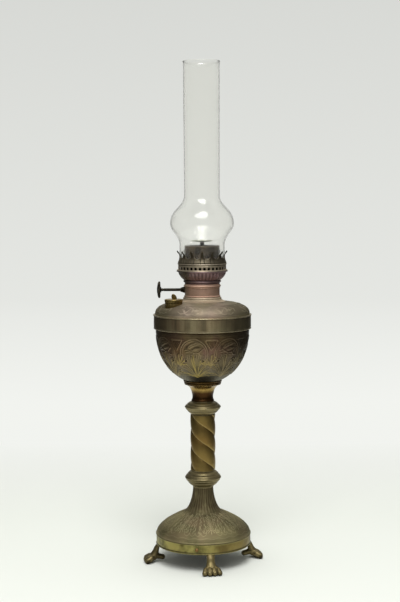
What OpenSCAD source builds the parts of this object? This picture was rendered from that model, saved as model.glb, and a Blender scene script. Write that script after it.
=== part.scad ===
// Round-wick kerosene table lamp, in millimetres.
// The lamp stands on the floor plane z = 0 with its axis on Z and its front towards -Y.
// The wick shaft points to -X. Every solid of revolution is drawn as [radius, height] points.

/* [Overall] */
// Height from the floor to the mouth of the glass
total_h = 720; // [690:1:740]
// Thickness of the spun brass sheet
sheet = 1.2; // [1.0:0.1:1.4]
// Radial play of turning and sliding fits
fit = 0.05; // [0.03:0.01:0.08]

/* [Base] */
// Outer radius of the band round the base
base_band_r = 68.2; // [67:0.1:69]
// Height of the band's lower edge above the floor
base_band_z = 26; // [24:0.5:28]
// Height of the band
base_band_h = 14; // [13:0.5:15]
// Height of the dome's neck, where the lower knop stands
dome_top_z = 109; // [107:0.5:112]
// Angle by which the feet are turned from the lamp's front, to the right
foot_turn = 7; // [0:1:20]
// Reach of the toes from the axis
foot_reach = 88.5; // [86:0.5:90]

/* [Column] */
// Height of each knop
knop_h = 25; // [24:0.5:26]
// Radius of a knop's sharp edge
knop_r = 26.2; // [25:0.1:27]
// Height of the twisted column
column_h = 81; // [70:1:90]
// Radius over the column's lobes
column_r = 18.1; // [17.5:0.1:19]
// Depth of the groove between two lobes
column_groove = 1.7; // [1.2:0.1:2]
// Height in which a lobe winds once round
column_lead = 75; // [60:1:100]

/* [Font] */
// Height of the font socket
socket_h = 25; // [24:0.5:26]
// Radius of the band round the font
font_band_r = 70.1; // [69.5:0.1:71]
// Height of the band round the font
font_band_h = 20.5; // [19:0.5:22]
// Depth of the bowl below the band
bowl_depth = 74; // [72:0.5:76]
// Height of the shoulder above the band
shoulder_h = 18; // [17.5:0.5:19]
// Distance of the filler cap from the axis
filler_reach = 49.5; // [49:0.1:50]
// Angle of the filler cap, seen from above
filler_angle = 215; // [210:1:220]

/* [Burner] */
// Outer radius of the burner's neck
neck_r = 24.8; // [24.7:0.1:25.2]
// Outer radius of the outer wick tube
wick_tube_r = 18.6; // [18.5:0.1:18.7]
// Teeth of the pinion
pinion_teeth = 10; // [10:1:12]
// Pitch radius of the pinion
pinion_r = 4; // [4:0.1:4.2]
// Length of the wick shaft outside the neck
shaft_reach = 36; // [32:0.5:38]
// Radius of the thumbwheel
wheel_r = 12; // [10:0.5:12]
// Number of holes in the gallery's ring
gallery_holes = 34; // [24:1:36]
// Number of prongs that hold the glass
prong_count = 14; // [12:1:16]

/* [Glass] */
// Outer radius of the glass at its foot
glass_foot_r = 32.4; // [32:0.1:32.4]
// Outer radius of the bulge
glass_bulge_r = 45.6; // [42:0.1:48]
// Outer radius of the straight tube
glass_tube_r = 25.5; // [24:0.1:27]
// Thickness of the glass
glass_wall = 1.8; // [1.5:0.1:2]

/* [Hidden] */
$fn = 96;
eps = 0.02;

// Levels of the stand, from the floor up
band_top_z = base_band_z + base_band_h;
lower_knop_z = dome_top_z;
column_z = lower_knop_z + knop_h;
upper_knop_z = column_z + column_h;
socket_z = upper_knop_z + knop_h - 5;
ring_z = socket_z + socket_h;
ring_h = 6;

// Levels of the font
bowl_z = ring_z + ring_h;
bowl_rim_z = bowl_z + bowl_depth;
font_joint_z = bowl_rim_z + font_band_h / 2;
shoulder_z = bowl_rim_z + font_band_h;
collar_z = shoulder_z + shoulder_h;

// Levels of the burner
neck_z = collar_z + 7.7;
shaft_z = neck_z + 9.3;
air_bowl_z = neck_z + 18.3;
gallery_z = air_bowl_z + 18.5;
seat_z = gallery_z + 9.2;
tube_top_z = seat_z + 26.2;
dish_z = seat_z + 32.3;

// Base: the weight fills the band, and the tie rod clamps the whole stand on it
weight_r = base_band_r - 1.5 - eps;
weight_boss_r = 15;
rod_r = 3;
rod_hole_r = 3.3;
rod_bottom_z = base_band_z - 8.5;
rod_top_z = socket_z + 13.5;
spigot_r = 11.9;
spigot_h = 6;

// Screws
foot_screw_r = 2;
foot_screw_x = 57;
lug_h = 4.5;
band_screw_r = 1.6;
band_screw_head_r = 2.65;
band_screw_count = 3;
first_band_screw = -98;

// Font: a boss under the bowl screws into the socket, and the burner screws into the collar
font_r = font_band_r - 2.1;
bowl_half_height = 80;
boss_r = 14;
boss_low = 14.2 - socket_h - ring_h;
collar_bore_r = 23.45;
collar_sleeve_r = 25.2;
shoulder_flat_r = 34.6;

// Filler: the cap turns on a screw neck and lifts its washer with it
filler_thread_r = 10.5;
filler_bore_r = 8.6;
filler_seat_r = 12.4;
filler_top_z = collar_z + 3;
cap_r = 12.9;
washer_t = 1.2;

// Wick raiser: a pinion on the radial shaft drives a rack, which carries the wick
shaft_r = 2.1;
gland_r = 3.1;
gear_module = 2 * pinion_r / pinion_teeth;
tooth_pitch = PI * gear_module;
rack_x = -21;
rack_w = 1.6;
rack_depth = 1.7;
wick_up = 5;
wick_down = 10;
wick_r = 17.3;
wick_wall = 1.8;
neck_bore_r = 22.2;
duct_r = 6.5;
duct_z = air_bowl_z + 9.5;
inner_tube_r = 15.2;

function lerp(a, b, t) = a + (b - a) * t;
function turned(points) = [for (i = [len(points) - 1:-1:0]) points[i]];

// Points of a cubic curve through its two end points, drawn towards its two middle ones
function curve(p, n = 10) = [
  for (i = [0:n]) let (t = i / n, u = 1 - t)
    u * u * u * p[0] + 3 * u * u * t * p[1] + 3 * u * t * t * p[2] + t * t * t * p[3]
];

// A copy of a line of points moved to its left, square to its own course
function beside(points, gap) = [
  for (i = [0:len(points) - 1])
    let (a = points[max(i - 1, 0)], b = points[min(i + 1, len(points) - 1)], d = (b - a) / norm(b - a))
      points[i] + gap * [-d[1], d[0]]
];

// Half-round bead from height z, of height h, standing out to radius r
function bead(r, z, h, n = 6) = [
  for (i = [0:n]) let (a = -90 + 180 * i / n) [r - h / 2 + h / 2 * cos(a), z + h / 2 + h / 2 * sin(a)]
];

module spin(points) rotate_extrude() polygon(points);
module shell(points, wall, z = 0) translate([0, 0, z]) spin(concat(points, turned(beside(points, wall))));
module tube(outer_r, inner_r, z0, z1) translate([0, 0, z0]) difference() {
  cylinder(r = outer_r, h = z1 - z0);
  translate([0, 0, -1]) cylinder(r = inner_r, h = z1 - z0 + 2);
}
module rod_hole(z0, z1, r = rod_hole_r) translate([0, 0, z0 - 1]) cylinder(r = r, h = z1 - z0 + 2);
module hex_nut(z, width, h, bore) translate([0, 0, z]) difference() {
  cylinder(r = width / sqrt(3), h = h, $fn = 6);
  translate([0, 0, -1]) cylinder(r = bore, h = h + 2);
}

// The leg, its lug and the tab outside the band are one flat casting, seen from its side
module foot_leg() {
  lug_z = base_band_z - lug_h;
  tab_r = base_band_r + 1;
  rotate([90, 0, 0]) linear_extrude(9, center = true) polygon(concat(
    [[48, base_band_z], [48, lug_z], [60.7, lug_z], [65, lug_z - 3]],
    curve([[66.5, 15], [66.5, 12], [64, 10], [61, 8]], 5),
    curve([[79, 9], [76, 13], [74.5, 18], [73.5, 24]], 5),
    [[tab_r + 2.4, base_band_z + 4.5], [tab_r + 1.2, base_band_z + 5.3], [tab_r, base_band_z + 4.5],
     [tab_r, base_band_z]]));
}
module toe(side) hull() {
  $fn = 16;
  translate([76, side * 3.6, 9.4]) sphere(3.8);
  translate([foot_reach - 4 - abs(side), side * 5.5, 8.6]) sphere(3.8);
  translate([foot_reach - 3.6 - abs(side), side * 5.6, 3.2]) sphere(3.6);
}
module paw_foot(angle) color("darkgoldenrod") rotate(angle) difference() {
  union() {
    foot_leg();
    for (side = [-2:2]) toe(side * 0.95);
    hull() {
      $fn = 20;
      translate([71, 0, 11]) sphere(6.2);
      translate([77, 0, 4.6]) scale([1, 1.9, 1]) sphere(5.6);
    }
    hull() {
      $fn = 16;
      translate([68.5, 0, 10]) sphere(5);
      translate([60.3, 0, 7]) scale([1, 1.25, 1]) sphere(4.2);
    }
  }
  translate([foot_screw_x, 0, base_band_z - lug_h - 4]) cylinder(r = foot_screw_r + 0.2, h = lug_h + 6);
  translate([30, -30, -20]) cube([70, 60, 20]);
}
module paw_foot_front() paw_foot(foot_turn - 90);
module paw_foot_right() paw_foot(foot_turn);
module paw_foot_back() paw_foot(foot_turn + 90);
module paw_foot_left() paw_foot(foot_turn + 180);

module foot_screws() color("dimgray") for (i = [0:3]) rotate(foot_turn + 90 * i)
  translate([foot_screw_x, 0, 0]) {
    translate([0, 0, base_band_z - lug_h - 2.6]) cylinder(r = 3.6, h = 2.6);
    translate([0, 0, base_band_z - lug_h]) cylinder(r = foot_screw_r, h = lug_h + 6);
  }

// Sheet band with a rolled lower edge
module base_band() color("goldenrod") difference() {
  spin(concat(
    [[base_band_r - 1.5, band_top_z], [base_band_r - 1.5, base_band_z]],
    bead(base_band_r + 0.8, base_band_z, 2),
    [[base_band_r, base_band_z + 2.4], [base_band_r, band_top_z]]));
  band_screw_holes();
}
module band_screw_holes(r = band_screw_r + 0.15)
  for (i = [0:band_screw_count - 1]) rotate(first_band_screw + 360 / band_screw_count * i)
    translate([base_band_r - 9, 0, base_band_z + base_band_h / 2]) rotate([0, 90, 0]) cylinder(r = r, h = 12);
module band_screws() color("sienna")
  for (i = [0:band_screw_count - 1]) rotate(first_band_screw + 360 / band_screw_count * i)
    translate([0, 0, base_band_z + base_band_h / 2]) rotate([0, 90, 0]) {
      translate([0, 0, base_band_r - 8]) cylinder(r = band_screw_r, h = 8.3);
      translate([0, 0, base_band_r + 0.1]) rotate_extrude() polygon(concat(
        [[0, 0]], [for (a = [0:15:90]) [band_screw_head_r * cos(a), 1.9 * sin(a)]]));
    }

// Cast iron disc with a raised rim and a centre boss
module base_weight() color("darkslategray") difference() {
  spin([[0, base_band_z], [weight_r, base_band_z], [weight_r, band_top_z], [weight_r - 13, band_top_z],
    [weight_r - 15, base_band_z + 6], [weight_boss_r + 3, base_band_z + 5],
    [weight_boss_r, base_band_z + 11], [0, base_band_z + 11]]);
  rod_hole(base_band_z, band_top_z);
  band_screw_holes();
  for (i = [0:3]) rotate(foot_turn + 90 * i) translate([foot_screw_x, 0, base_band_z - 1])
    cylinder(r = foot_screw_r + 0.05, h = 7.3);
}

// Spun dome: a rolled rim on the band, a low bell and a narrow neck
function dome_outline() = concat(
  curve([[base_band_r - 0.3, band_top_z + 3], [66.8, band_top_z + 13.5], [46, band_top_z + 24.3], [28, band_top_z + 32.4]], 12),
  curve([[26.7, band_top_z + 33.6], [20.2, band_top_z + 37.8], [15.2, dome_top_z - 17], [14.4, dome_top_z]], 10));
module base_dome() color("darkolivegreen") difference() {
  union() {
    shell(dome_outline(), sheet);
    spin(concat([[weight_r - 4, band_top_z + 1.4], [weight_r - 4, band_top_z]],
      bead(base_band_r + 0.9, band_top_z, 2.2), [[base_band_r - 0.3, band_top_z + 3],
      [base_band_r - 0.3 - sheet, band_top_z + 3], [base_band_r - 0.3 - sheet, band_top_z + 1.4]]));
    translate([0, 0, dome_top_z - 2]) cylinder(r = 14, h = 2);
  }
  rod_hole(dome_top_z - 2, dome_top_z);
}

module tie_rod() color("gray") translate([0, 0, rod_bottom_z]) cylinder(r = rod_r, h = rod_top_z - rod_bottom_z);
module base_washer() color("gray") tube(11, rod_hole_r, base_band_z - 1.6, base_band_z);
module base_nut() color("dimgray") hex_nut(base_band_z - 6.6, 10, 5, rod_r);

// Half of a knop's stepped outline, from its face at height 0 to its edge at height h
function knop_steps(face_r, h) = [
  [face_r, 0], [face_r, 0.12 * h], [face_r + 0.25 * (knop_r - face_r), 0.25 * h],
  [face_r + 0.5 * (knop_r - face_r), 0.42 * h], [face_r + 0.56 * (knop_r - face_r), 0.56 * h],
  [face_r + 0.8 * (knop_r - face_r), 0.72 * h], [face_r + 0.84 * (knop_r - face_r), 0.84 * h],
  [knop_r, h - 0.6]
];
// A knop of height h from height z, with its sharp edge at edge_h above its lower face
module knop(z, h, edge_h, low_r, high_r) difference() {
  translate([0, 0, z]) spin(concat(
    [[0, 0]], knop_steps(low_r, edge_h),
    turned([for (p = knop_steps(high_r, h - edge_h)) [p[0], h - p[1]]]), [[0, h]]));
  rod_hole(z, z + h);
}
module lower_knop() color("olive") union() {
  knop(lower_knop_z, knop_h, 0.55 * knop_h, 15.1, 16.9);
  tube(spigot_r, rod_hole_r, column_z - 1, column_z + spigot_h);
}
module upper_knop() color("olive") union() {
  knop(upper_knop_z, knop_h - 5, 11, 16.9, 16.4);
  tube(spigot_r, rod_hole_r, upper_knop_z - spigot_h, upper_knop_z + 1);
}

// Three lobes wound to the left round a hollow core
function lobed(n = 54) = [
  for (i = [0:n - 1]) let (a = 360 * i / n)
    (column_r - column_groove + column_groove * sqrt(abs(sin(1.5 * a)))) * [cos(a), sin(a)]
];
module twisted_column() color("olive") difference() {
  translate([0, 0, column_z]) linear_extrude(column_h, twist = 360 * column_h / column_lead, slices = 24)
    polygon(lobed());
  rod_hole(column_z, column_z + column_h, spigot_r + 0.1);
}

// Flared socket: the rod's nut sits in its well, and the font's boss screws into its mouth
module font_socket() color("peru") difference() {
  translate([0, 0, socket_z]) spin(concat([[0, 0], [16.4, 0]],
    curve([[16.2, 1.5], [14.2, 3.5], [14.9, 8.5], [16.2, 13]], 5),
    curve([[16.5, 14.2], [18, 19], [20, 22], [26.4, 24.2]], 6), [[26.4, socket_h], [0, socket_h]]));
  rod_hole(socket_z, socket_z + 5);
  translate([0, 0, socket_z + 6]) cylinder(r = 10, h = 30);
  translate([0, 0, socket_z + 13]) cylinder(r = boss_r + fit, h = 30);
}
module socket_washer() color("gray") tube(8, rod_hole_r, socket_z + 6, socket_z + 7.2);
module socket_nut() color("dimgray") hex_nut(socket_z + 7.2, 10, 5, rod_r);
module socket_ring() color("darkslategray") difference() {
  translate([0, 0, ring_z]) spin([[boss_r + 0.1, 0], [26.4, 0], [26.8, 0.6], [26.8, 2.4], [27.3, 3], [27.9, 3.4],
    [27.9, 5.4], [27.4, ring_h], [24.1, ring_h], [24.1, ring_h - 1.5], [boss_r + 0.1, ring_h - 1.5]]);
}
module font_boss() color("goldenrod") translate([0, 0, bowl_z])
  spin([[0, 0], [24, 0], [24, -1.5], [boss_r, -1.5], [boss_r, boss_low], [0, boss_low]]);

// Bowl of the font: the lower half of a full egg shape, closed below and carried up inside the band
bowl_power = 2 / 2.12;
bowl_low_angle = asin(pow(bowl_depth / bowl_half_height, 1 / bowl_power));
function bowl_outline(n = 16) = [
  for (i = [0:n]) let (a = lerp(bowl_low_angle, 0, i / n))
    [font_r * pow(cos(a), bowl_power), bowl_rim_z - bowl_half_height * pow(sin(a), bowl_power)]
];
module font_bowl() color("saddlebrown") union() {
  shell(concat(bowl_outline(), [[font_r, font_joint_z]]), sheet);
  translate([0, 0, bowl_z]) cylinder(r = font_r * pow(cos(bowl_low_angle), bowl_power) - 0.4, h = sheet);
}
module font_band() color("saddlebrown") spin(concat(
  [[font_r + eps, shoulder_z], [font_r + eps, bowl_rim_z]], bead(font_band_r, bowl_rim_z, 1.4),
  [[font_band_r - 0.3, bowl_rim_z + 2], [font_band_r - 0.3, shoulder_z - 2.4]],
  bead(font_band_r + 0.6, shoulder_z - 1.9, 1.9)));
module font_shoulder() color("darkkhaki") difference() {
  shell(concat([[font_r, font_joint_z + eps]],
    curve([[font_r, shoulder_z + 1], [font_r, shoulder_z + 11], [55.5, collar_z - 2], [shoulder_flat_r, collar_z]], 12),
    [[collar_sleeve_r + 0.05, collar_z]]), sheet);
  at_filler() cylinder(r = filler_seat_r + eps, h = 60, center = true);
}

module at_filler() rotate(filler_angle) translate([filler_reach, 0, filler_top_z]) children();
module filler_neck() color("goldenrod") at_filler() difference() {
  spin([[0, -14], [filler_seat_r, -14], [filler_seat_r, -5.2], [filler_thread_r, -5.2], [filler_thread_r, 0], [0, 0]]);
  translate([0, 0, -20]) cylinder(r = filler_bore_r, h = 30);
}
module filler_washer() color("tan") at_filler() tube(10.2, filler_bore_r - 2, 0, washer_t);
// Cap: a milled rim round a screw skirt, closed by a flat top
module filler_cap() color("darkkhaki") at_filler() difference() {
  spin([[0, washer_t + 1.6], [cap_r - 0.5, washer_t + 1.6], [cap_r, washer_t + 1.1], [cap_r, washer_t + 0.4],
    [cap_r - 0.3, washer_t], [cap_r - 0.8, -4.9], [0, -4.9]]);
  translate([0, 0, -10]) cylinder(r = filler_thread_r + fit, h = 10 + washer_t);
  for (i = [0:35]) rotate(10 * i) translate([cap_r - 0.1, 0, -4]) rotate([0, -4, 0]) cylinder(r = 0.45, h = 4.6, $fn = 4);
}
// Thumb piece: a small leaf standing on the cap
module cap_finial() color("darkolivegreen") at_filler() translate([0, 0, washer_t + 1.6]) rotate(35) hull() {
  $fn = 24;
  cylinder(r = 2.6, h = 0.8);
  translate([-1.2, 0, 5.2]) scale([0.55, 1.5, 1]) sphere(2.3);
}

// Collar: a flared brass ring with a sleeve down into the font
module font_collar() color("wheat") spin(concat(
  [[collar_bore_r, collar_z - 9], [collar_sleeve_r, collar_z - 9], [collar_sleeve_r, collar_z], [33.8, collar_z]],
  curve([[33.8, collar_z + 0.8], [30, collar_z + 2], [27.6, collar_z + 3.4], [27, collar_z + 6]], 6),
  [[26.4, neck_z - 0.8], [collar_bore_r, neck_z - 0.8]]));
module collar_gasket() color("tan") tube(25.6, collar_bore_r, neck_z - 0.8, neck_z);

module at_shaft() translate([0, 0, shaft_z]) rotate([0, -90, 0]) children();
module burner_neck() color("rosybrown") difference() {
  spin(concat([[neck_bore_r, neck_z - 15], [collar_bore_r - fit, neck_z - 15], [collar_bore_r - fit, neck_z],
    [neck_r + 1.2, neck_z], [neck_r + 1.2, neck_z + 1], [neck_r, neck_z + 1.8], [neck_r, neck_z + 13.6]],
    bead(neck_r + 1.9, neck_z + 14, 2.6), [[neck_r - 0.4, air_bowl_z], [neck_bore_r, air_bowl_z]]));
  at_shaft() cylinder(r = gland_r + eps, h = 40);
}
// Gland: a threaded bush through the neck with a cone outside it
module shaft_gland() color("sienna") at_shaft() difference() {
  union() {
    translate([0, 0, neck_bore_r + 0.3]) cylinder(r = gland_r, h = 3);
    translate([0, 0, neck_r + 0.05]) cylinder(r = 4.4, h = 1);
    translate([0, 0, neck_r + 1.05]) cylinder(r1 = 4.2, r2 = 2.9, h = 4.2);
  }
  cylinder(r = shaft_r + fit, h = 60);
}

// Fluted bowl that draws in the air, with a floor round the wick tube
flute_count = 36;
module air_bowl() color("rosybrown") difference() {
  union() {
    shell(concat(curve([[25.8, 4.8], [29.3, 7.2], [33.5, 11.6], [34.4, 16.8]], 8), [[36.8, 17.2], [36.8, 18.5]]),
      1.4, air_bowl_z);
    translate([0, 0, air_bowl_z]) spin(concat([[wick_tube_r + eps, 0], [25.2, 0], [25.4, 2]],
      bead(27.1, 2, 2.8), [[26.6, 5.4], [25.4, 6.6], [24.6, 6.2], [24.6, 1.2], [wick_tube_r + eps, 1.2]]));
  }
  rack_gate();
  for (i = [0:flute_count - 1]) rotate(360 / flute_count * i)
    translate([29, 0, air_bowl_z + 4.3]) rotate([0, 35.6, 0]) cylinder(r = 2.2, h = 12.2);
}
// Slot in the bowl's floor for the top of the rack
module rack_gate() translate([rack_x - 0.4, pinion_r - 1, air_bowl_z - 1]) cube([rack_w + 0.8, 4.4, 4]);

module outer_wick_tube() color("indianred") difference() {
  tube(wick_tube_r, wick_tube_r - 0.55, collar_z - 13, tube_top_z);
  translate([-30, pinion_r + 0.5, rack_low_z - wick_down - 1]) cube([30, 2.7, wick_up + wick_down + 4]);
  translate([0, 0, duct_z]) rotate([-90, 0, 0]) cylinder(r = duct_r - 0.8, h = 40);
}
module inner_wick_tube() color("indianred") difference() {
  spin([[0, air_bowl_z], [inner_tube_r, air_bowl_z], [inner_tube_r, tube_top_z], [inner_tube_r - 0.9, tube_top_z],
    [inner_tube_r - 0.9, air_bowl_z + 1], [0, air_bowl_z + 1]]);
  translate([0, 0, duct_z]) rotate([-90, 0, 0]) cylinder(r = duct_r - 0.8, h = 40);
}
// Duct that lets air through the wick's gap to the inside of the flame
module draught_duct() color("indianred") intersection() {
  difference() {
    translate([0, 0, duct_z]) rotate([-90, 0, 0]) cylinder(r = duct_r, h = 40);
    translate([0, 0, duct_z]) rotate([-90, 0, 0]) cylinder(r = duct_r - 0.8, h = 50);
    translate([0, 0, duct_z - 20]) cylinder(r = inner_tube_r + eps, h = 40);
  }
  translate([0, 0, duct_z - 20]) cylinder(r = wick_tube_r - 0.55 - eps, h = 40);
}
module wick() color("ivory") difference() {
  tube(wick_r, wick_r - wick_wall, bowl_z + 21, tube_top_z + 0.5);
  translate([-duct_r - 0.8, 0, bowl_z]) cube([2 * duct_r + 1.6, 30, duct_z + duct_r + wick_down + 1 - bowl_z]);
}

rack_low_z = shaft_z - wick_up - 3.3;
rack_high_z = shaft_z + wick_down + 3.3;
rack_tooth = 0.45;
// Carrier: a ring round the wick, a tab through the tube's slot and the rack outside it
module wick_carrier() color("darkgoldenrod") union() {
  tube(wick_tube_r - 0.75, wick_r + 0.1, rack_low_z - 3, rack_low_z + 5);
  difference() {
    translate([rack_x, pinion_r + 1, rack_low_z]) cube([rack_w + 6, 1.6, 2]);
    translate([0, 0, rack_low_z - 1]) cylinder(r = wick_r + 0.2, h = 4);
  }
  translate([rack_x, 0, 0]) rotate([90, 0, 90]) linear_extrude(rack_w) rack_outline();
}
// The rack's straight-flanked teeth stand between the pinion's, so one of its gaps is level with the shaft
module rack_outline() {
  half_root = tooth_pitch / 4 + 0.85 * tan(20) - 0.06;
  half_tip = tooth_pitch / 4 - rack_tooth * tan(20) - 0.06;
  root_y = pinion_r + 0.85;
  intersection() {
    translate([pinion_r - 1, rack_low_z]) square([4, rack_high_z - rack_low_z]);
    union() {
      translate([root_y, rack_low_z]) square([rack_depth, rack_high_z - rack_low_z]);
      for (i = [-4:6]) translate([0, shaft_z + (i + 0.5) * tooth_pitch])
        polygon([[root_y + eps, half_root], [pinion_r - rack_tooth, half_tip],
          [pinion_r - rack_tooth, -half_tip], [root_y + eps, -half_root]]);
    }
  }
}

// Involute pinion: one flank rolls off the base circle, the other mirrors it
base_circle_r = pinion_r * cos(20);
tip_r = pinion_r + 0.7;
root_r = pinion_r - 0.62;
function roll_angle(r) = sqrt(max(pow(r / base_circle_r, 2) - 1, 0)) * 180 / PI;
function flank_angle(r) = roll_angle(r) - atan(roll_angle(r) * PI / 180);
half_tooth = 90 / pinion_teeth - 0.9 + flank_angle(pinion_r);
function flank(sign) = [
  for (r = [root_r, base_circle_r, lerp(base_circle_r, tip_r, 0.35), lerp(base_circle_r, tip_r, 0.7), tip_r])
    let (a = sign * (half_tooth - flank_angle(r))) r * [cos(a), sin(a)]
];
module pinion() color("darkgoldenrod") translate([rack_x - 0.1, 0, shaft_z]) rotate([90, 0, 90])
  linear_extrude(rack_w + 0.2) difference() {
    union() {
      circle(root_r + 0.02);
      for (i = [0:pinion_teeth - 1]) rotate(360 / pinion_teeth * i) polygon(concat([[0, 0]], flank(-1), turned(flank(1))));
    }
    circle(shaft_r);
  }
module wick_shaft() color("darkslategray") at_shaft() translate([0, 0, 19]) cylinder(r = shaft_r, h = neck_r + shaft_reach - 19);
// Thumbwheel: a lens with a milled edge and a hub on its inner side
module thumbwheel() color("darkolivegreen") at_shaft() translate([0, 0, neck_r + shaft_reach]) difference() {
  spin([[0, 4.2], [3, 4.1], [6.5, 3.4], [9.5, 2.7], [wheel_r - 0.6, 2.1], [wheel_r, 1.6], [wheel_r, 0.6],
    [wheel_r - 0.6, 0.1], [9.5, 0], [6.5, -0.4], [3.8, -0.9], [3.6, -2], [0, -2]]);
  translate([0, 0, -10]) cylinder(r = shaft_r, h = 10);
}

// Gallery: a ring of air holes, a seat for the glass and a crown of prongs cut from one sheet
crown_h = 18.4;
function crown_outline() = curve([[34.4, 1], [33.6, 7], [33.8, 11], [36.1, crown_h]], 8);
module chimney_gallery() color("burlywood") difference() {
  union() {
    translate([0, 0, gallery_z]) spin(concat([[33.6, 0], [36.2, 0], [36.2, 0.8], [34.4, 1.4], [34.4, 7.2]],
      bead(35.2, 7.5, 1.6), [[34.4, 10.3], [33.8, 10.3], [33.7, 9.2], [26.4, 9.2], [26.4, 8.2], [33.6, 8.2]]));
    shell(crown_outline(), 0.6, seat_z);
  }
  for (i = [0:gallery_holes - 1]) rotate(360 / gallery_holes * (i + 0.5))
    translate([30, 0, gallery_z + 3.9]) rotate([0, 90, 0]) cylinder(r = 1.65, h = 10);
  for (i = [0:prong_count - 1]) rotate(360 / prong_count * i) translate([28, 0, seat_z]) {
    translate([0, 0, 14.2]) rotate([0, 90, 0]) cylinder(r = 4.8, h = 12);
    translate([0, -4.8, 14.2]) cube([12, 9.6, crown_h]);
  }
}
// Cap: the drum round the wick tube, its lip turned in above the flame's air gap
module burner_cap() color("dimgray") translate([0, 0, seat_z]) spin(concat(
  [[26.4, 0], [27.4, 0], [27.4, 0.8], [26.3, 1.4], [26.1, 3], [25.1, 4]],
  curve([[25.1, 24.6], [25.1, 26], [24.6, 26.5], [23, 26.6]], 4),
  [[19.8, 26.6], [19.8, 25.8], [23, 25.8], [24.3, 25], [24.3, 4], [25.3, 3], [25.3, 0]]));

// Spreader: a stem in the inner tube, centred by three arms, under a shallow dish
module spreader_stem() color("dimgray") union() {
  translate([0, 0, air_bowl_z + 1]) cylinder(r = 2.9, h = dish_z - air_bowl_z - 1);
  for (i = [0:2]) rotate(120 * i + 30) translate([0, -1.2, dish_z - 26]) cube([14, 2.4, 3]);
}
module flame_spreader() color("whitesmoke") translate([0, 0, dish_z])
  spin([[0, 0], [5, 0], [12, 0.5], [15.2, 1.6], [15.2, 2.3], [12, 1.6], [6, 1.2], [3, 1.4], [0, 1.8]]);

// Glass: a straight foot, a bulge round the flame and a long tube that widens a little to its rolled mouth
glass_mouth_r = glass_tube_r + 0.5;
function glass_outline() = concat(
  [[glass_foot_r, seat_z]],
  curve([[glass_foot_r, seat_z + 28], [glass_foot_r, seat_z + 39], [glass_bulge_r, seat_z + 47.5],
    [glass_bulge_r, seat_z + 57]], 12),
  curve([[glass_bulge_r, seat_z + 58], [glass_bulge_r, seat_z + 80], [glass_tube_r - 0.7, seat_z + 82.4],
    [glass_tube_r, seat_z + 99]], 14),
  [[glass_tube_r, seat_z + 150], [glass_mouth_r, total_h - 2]]);
module chimney() color("lightblue", 0.35) union() {
  shell(glass_outline(), glass_wall);
  translate([0, 0, total_h - 2.4]) spin(concat([[glass_mouth_r - glass_wall, -1], [glass_mouth_r, -1]],
    bead(glass_mouth_r + 0.6, 0, 2.4), [[glass_mouth_r - glass_wall, 2.4]]));
}

paw_foot_front();
paw_foot_right();
paw_foot_back();
paw_foot_left();
foot_screws();
base_band();
band_screws();
base_weight();
base_dome();
tie_rod();
base_washer();
base_nut();
lower_knop();
twisted_column();
upper_knop();
font_socket();
socket_washer();
socket_nut();
socket_ring();
font_boss();
font_bowl();
font_band();
font_shoulder();
filler_neck();
filler_washer();
filler_cap();
cap_finial();
font_collar();
collar_gasket();
burner_neck();
shaft_gland();
air_bowl();
outer_wick_tube();
inner_wick_tube();
draught_duct();
wick();
wick_carrier();
pinion();
wick_shaft();
thumbwheel();
chimney_gallery();
burner_cap();
spreader_stem();
flame_spreader();
chimney();
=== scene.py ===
"""Kerosene table lamp of embossed brass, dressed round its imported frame.

Shapes are worked out in millimetres and become metres when their mesh is made. An angle round the lamp is
counted from its front, which looks to -Y, towards its right, which is +X. A profile is an array of
[radius, height] rows that runs anticlockwise, so that the surface it turns out faces outwards.
"""

import math

import bmesh
import bpy
import numpy as np
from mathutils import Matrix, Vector


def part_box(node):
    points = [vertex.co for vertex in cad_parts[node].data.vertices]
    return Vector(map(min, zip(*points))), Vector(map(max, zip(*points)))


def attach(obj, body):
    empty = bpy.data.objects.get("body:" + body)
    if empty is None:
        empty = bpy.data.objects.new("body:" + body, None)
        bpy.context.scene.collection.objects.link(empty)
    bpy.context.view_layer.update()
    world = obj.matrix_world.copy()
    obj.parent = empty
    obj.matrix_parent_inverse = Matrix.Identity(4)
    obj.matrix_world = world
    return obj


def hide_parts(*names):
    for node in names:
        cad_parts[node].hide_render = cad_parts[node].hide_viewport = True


bl_info = {
    "name": "Kerosene Table Lamp",
    "version": (1, 0, 0),
    "blender": (4, 5, 0),
    "location": "View3D > Sidebar > Lamp",
    "description": "Builds the embossed brass lamp, its burner and its glass round the packed frame",
    "category": "Add Mesh",
}

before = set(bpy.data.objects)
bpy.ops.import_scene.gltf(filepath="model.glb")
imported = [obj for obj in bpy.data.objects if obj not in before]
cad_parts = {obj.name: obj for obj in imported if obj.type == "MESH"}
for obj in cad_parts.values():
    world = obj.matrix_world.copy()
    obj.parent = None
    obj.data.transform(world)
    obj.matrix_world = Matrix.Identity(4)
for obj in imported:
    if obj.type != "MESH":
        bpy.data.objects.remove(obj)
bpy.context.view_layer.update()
MM = 0.001
TURN = 2 * math.pi


def extent(node):
    """Centre x, centre y, half width, bottom and top of a CAD node, in millimetres."""
    low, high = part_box(node)
    middle = (low + high) / 2 / MM
    return middle.x, middle.y, (high.x - low.x) / 2 / MM, low.z / MM, high.z / MM


def level(node, top=False):
    """Height of a CAD node's lower or upper end, in millimetres."""
    return extent(node)[4 if top else 3]


def radius(node):
    """Half the width of a CAD node, in millimetres."""
    return extent(node)[2]


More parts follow.
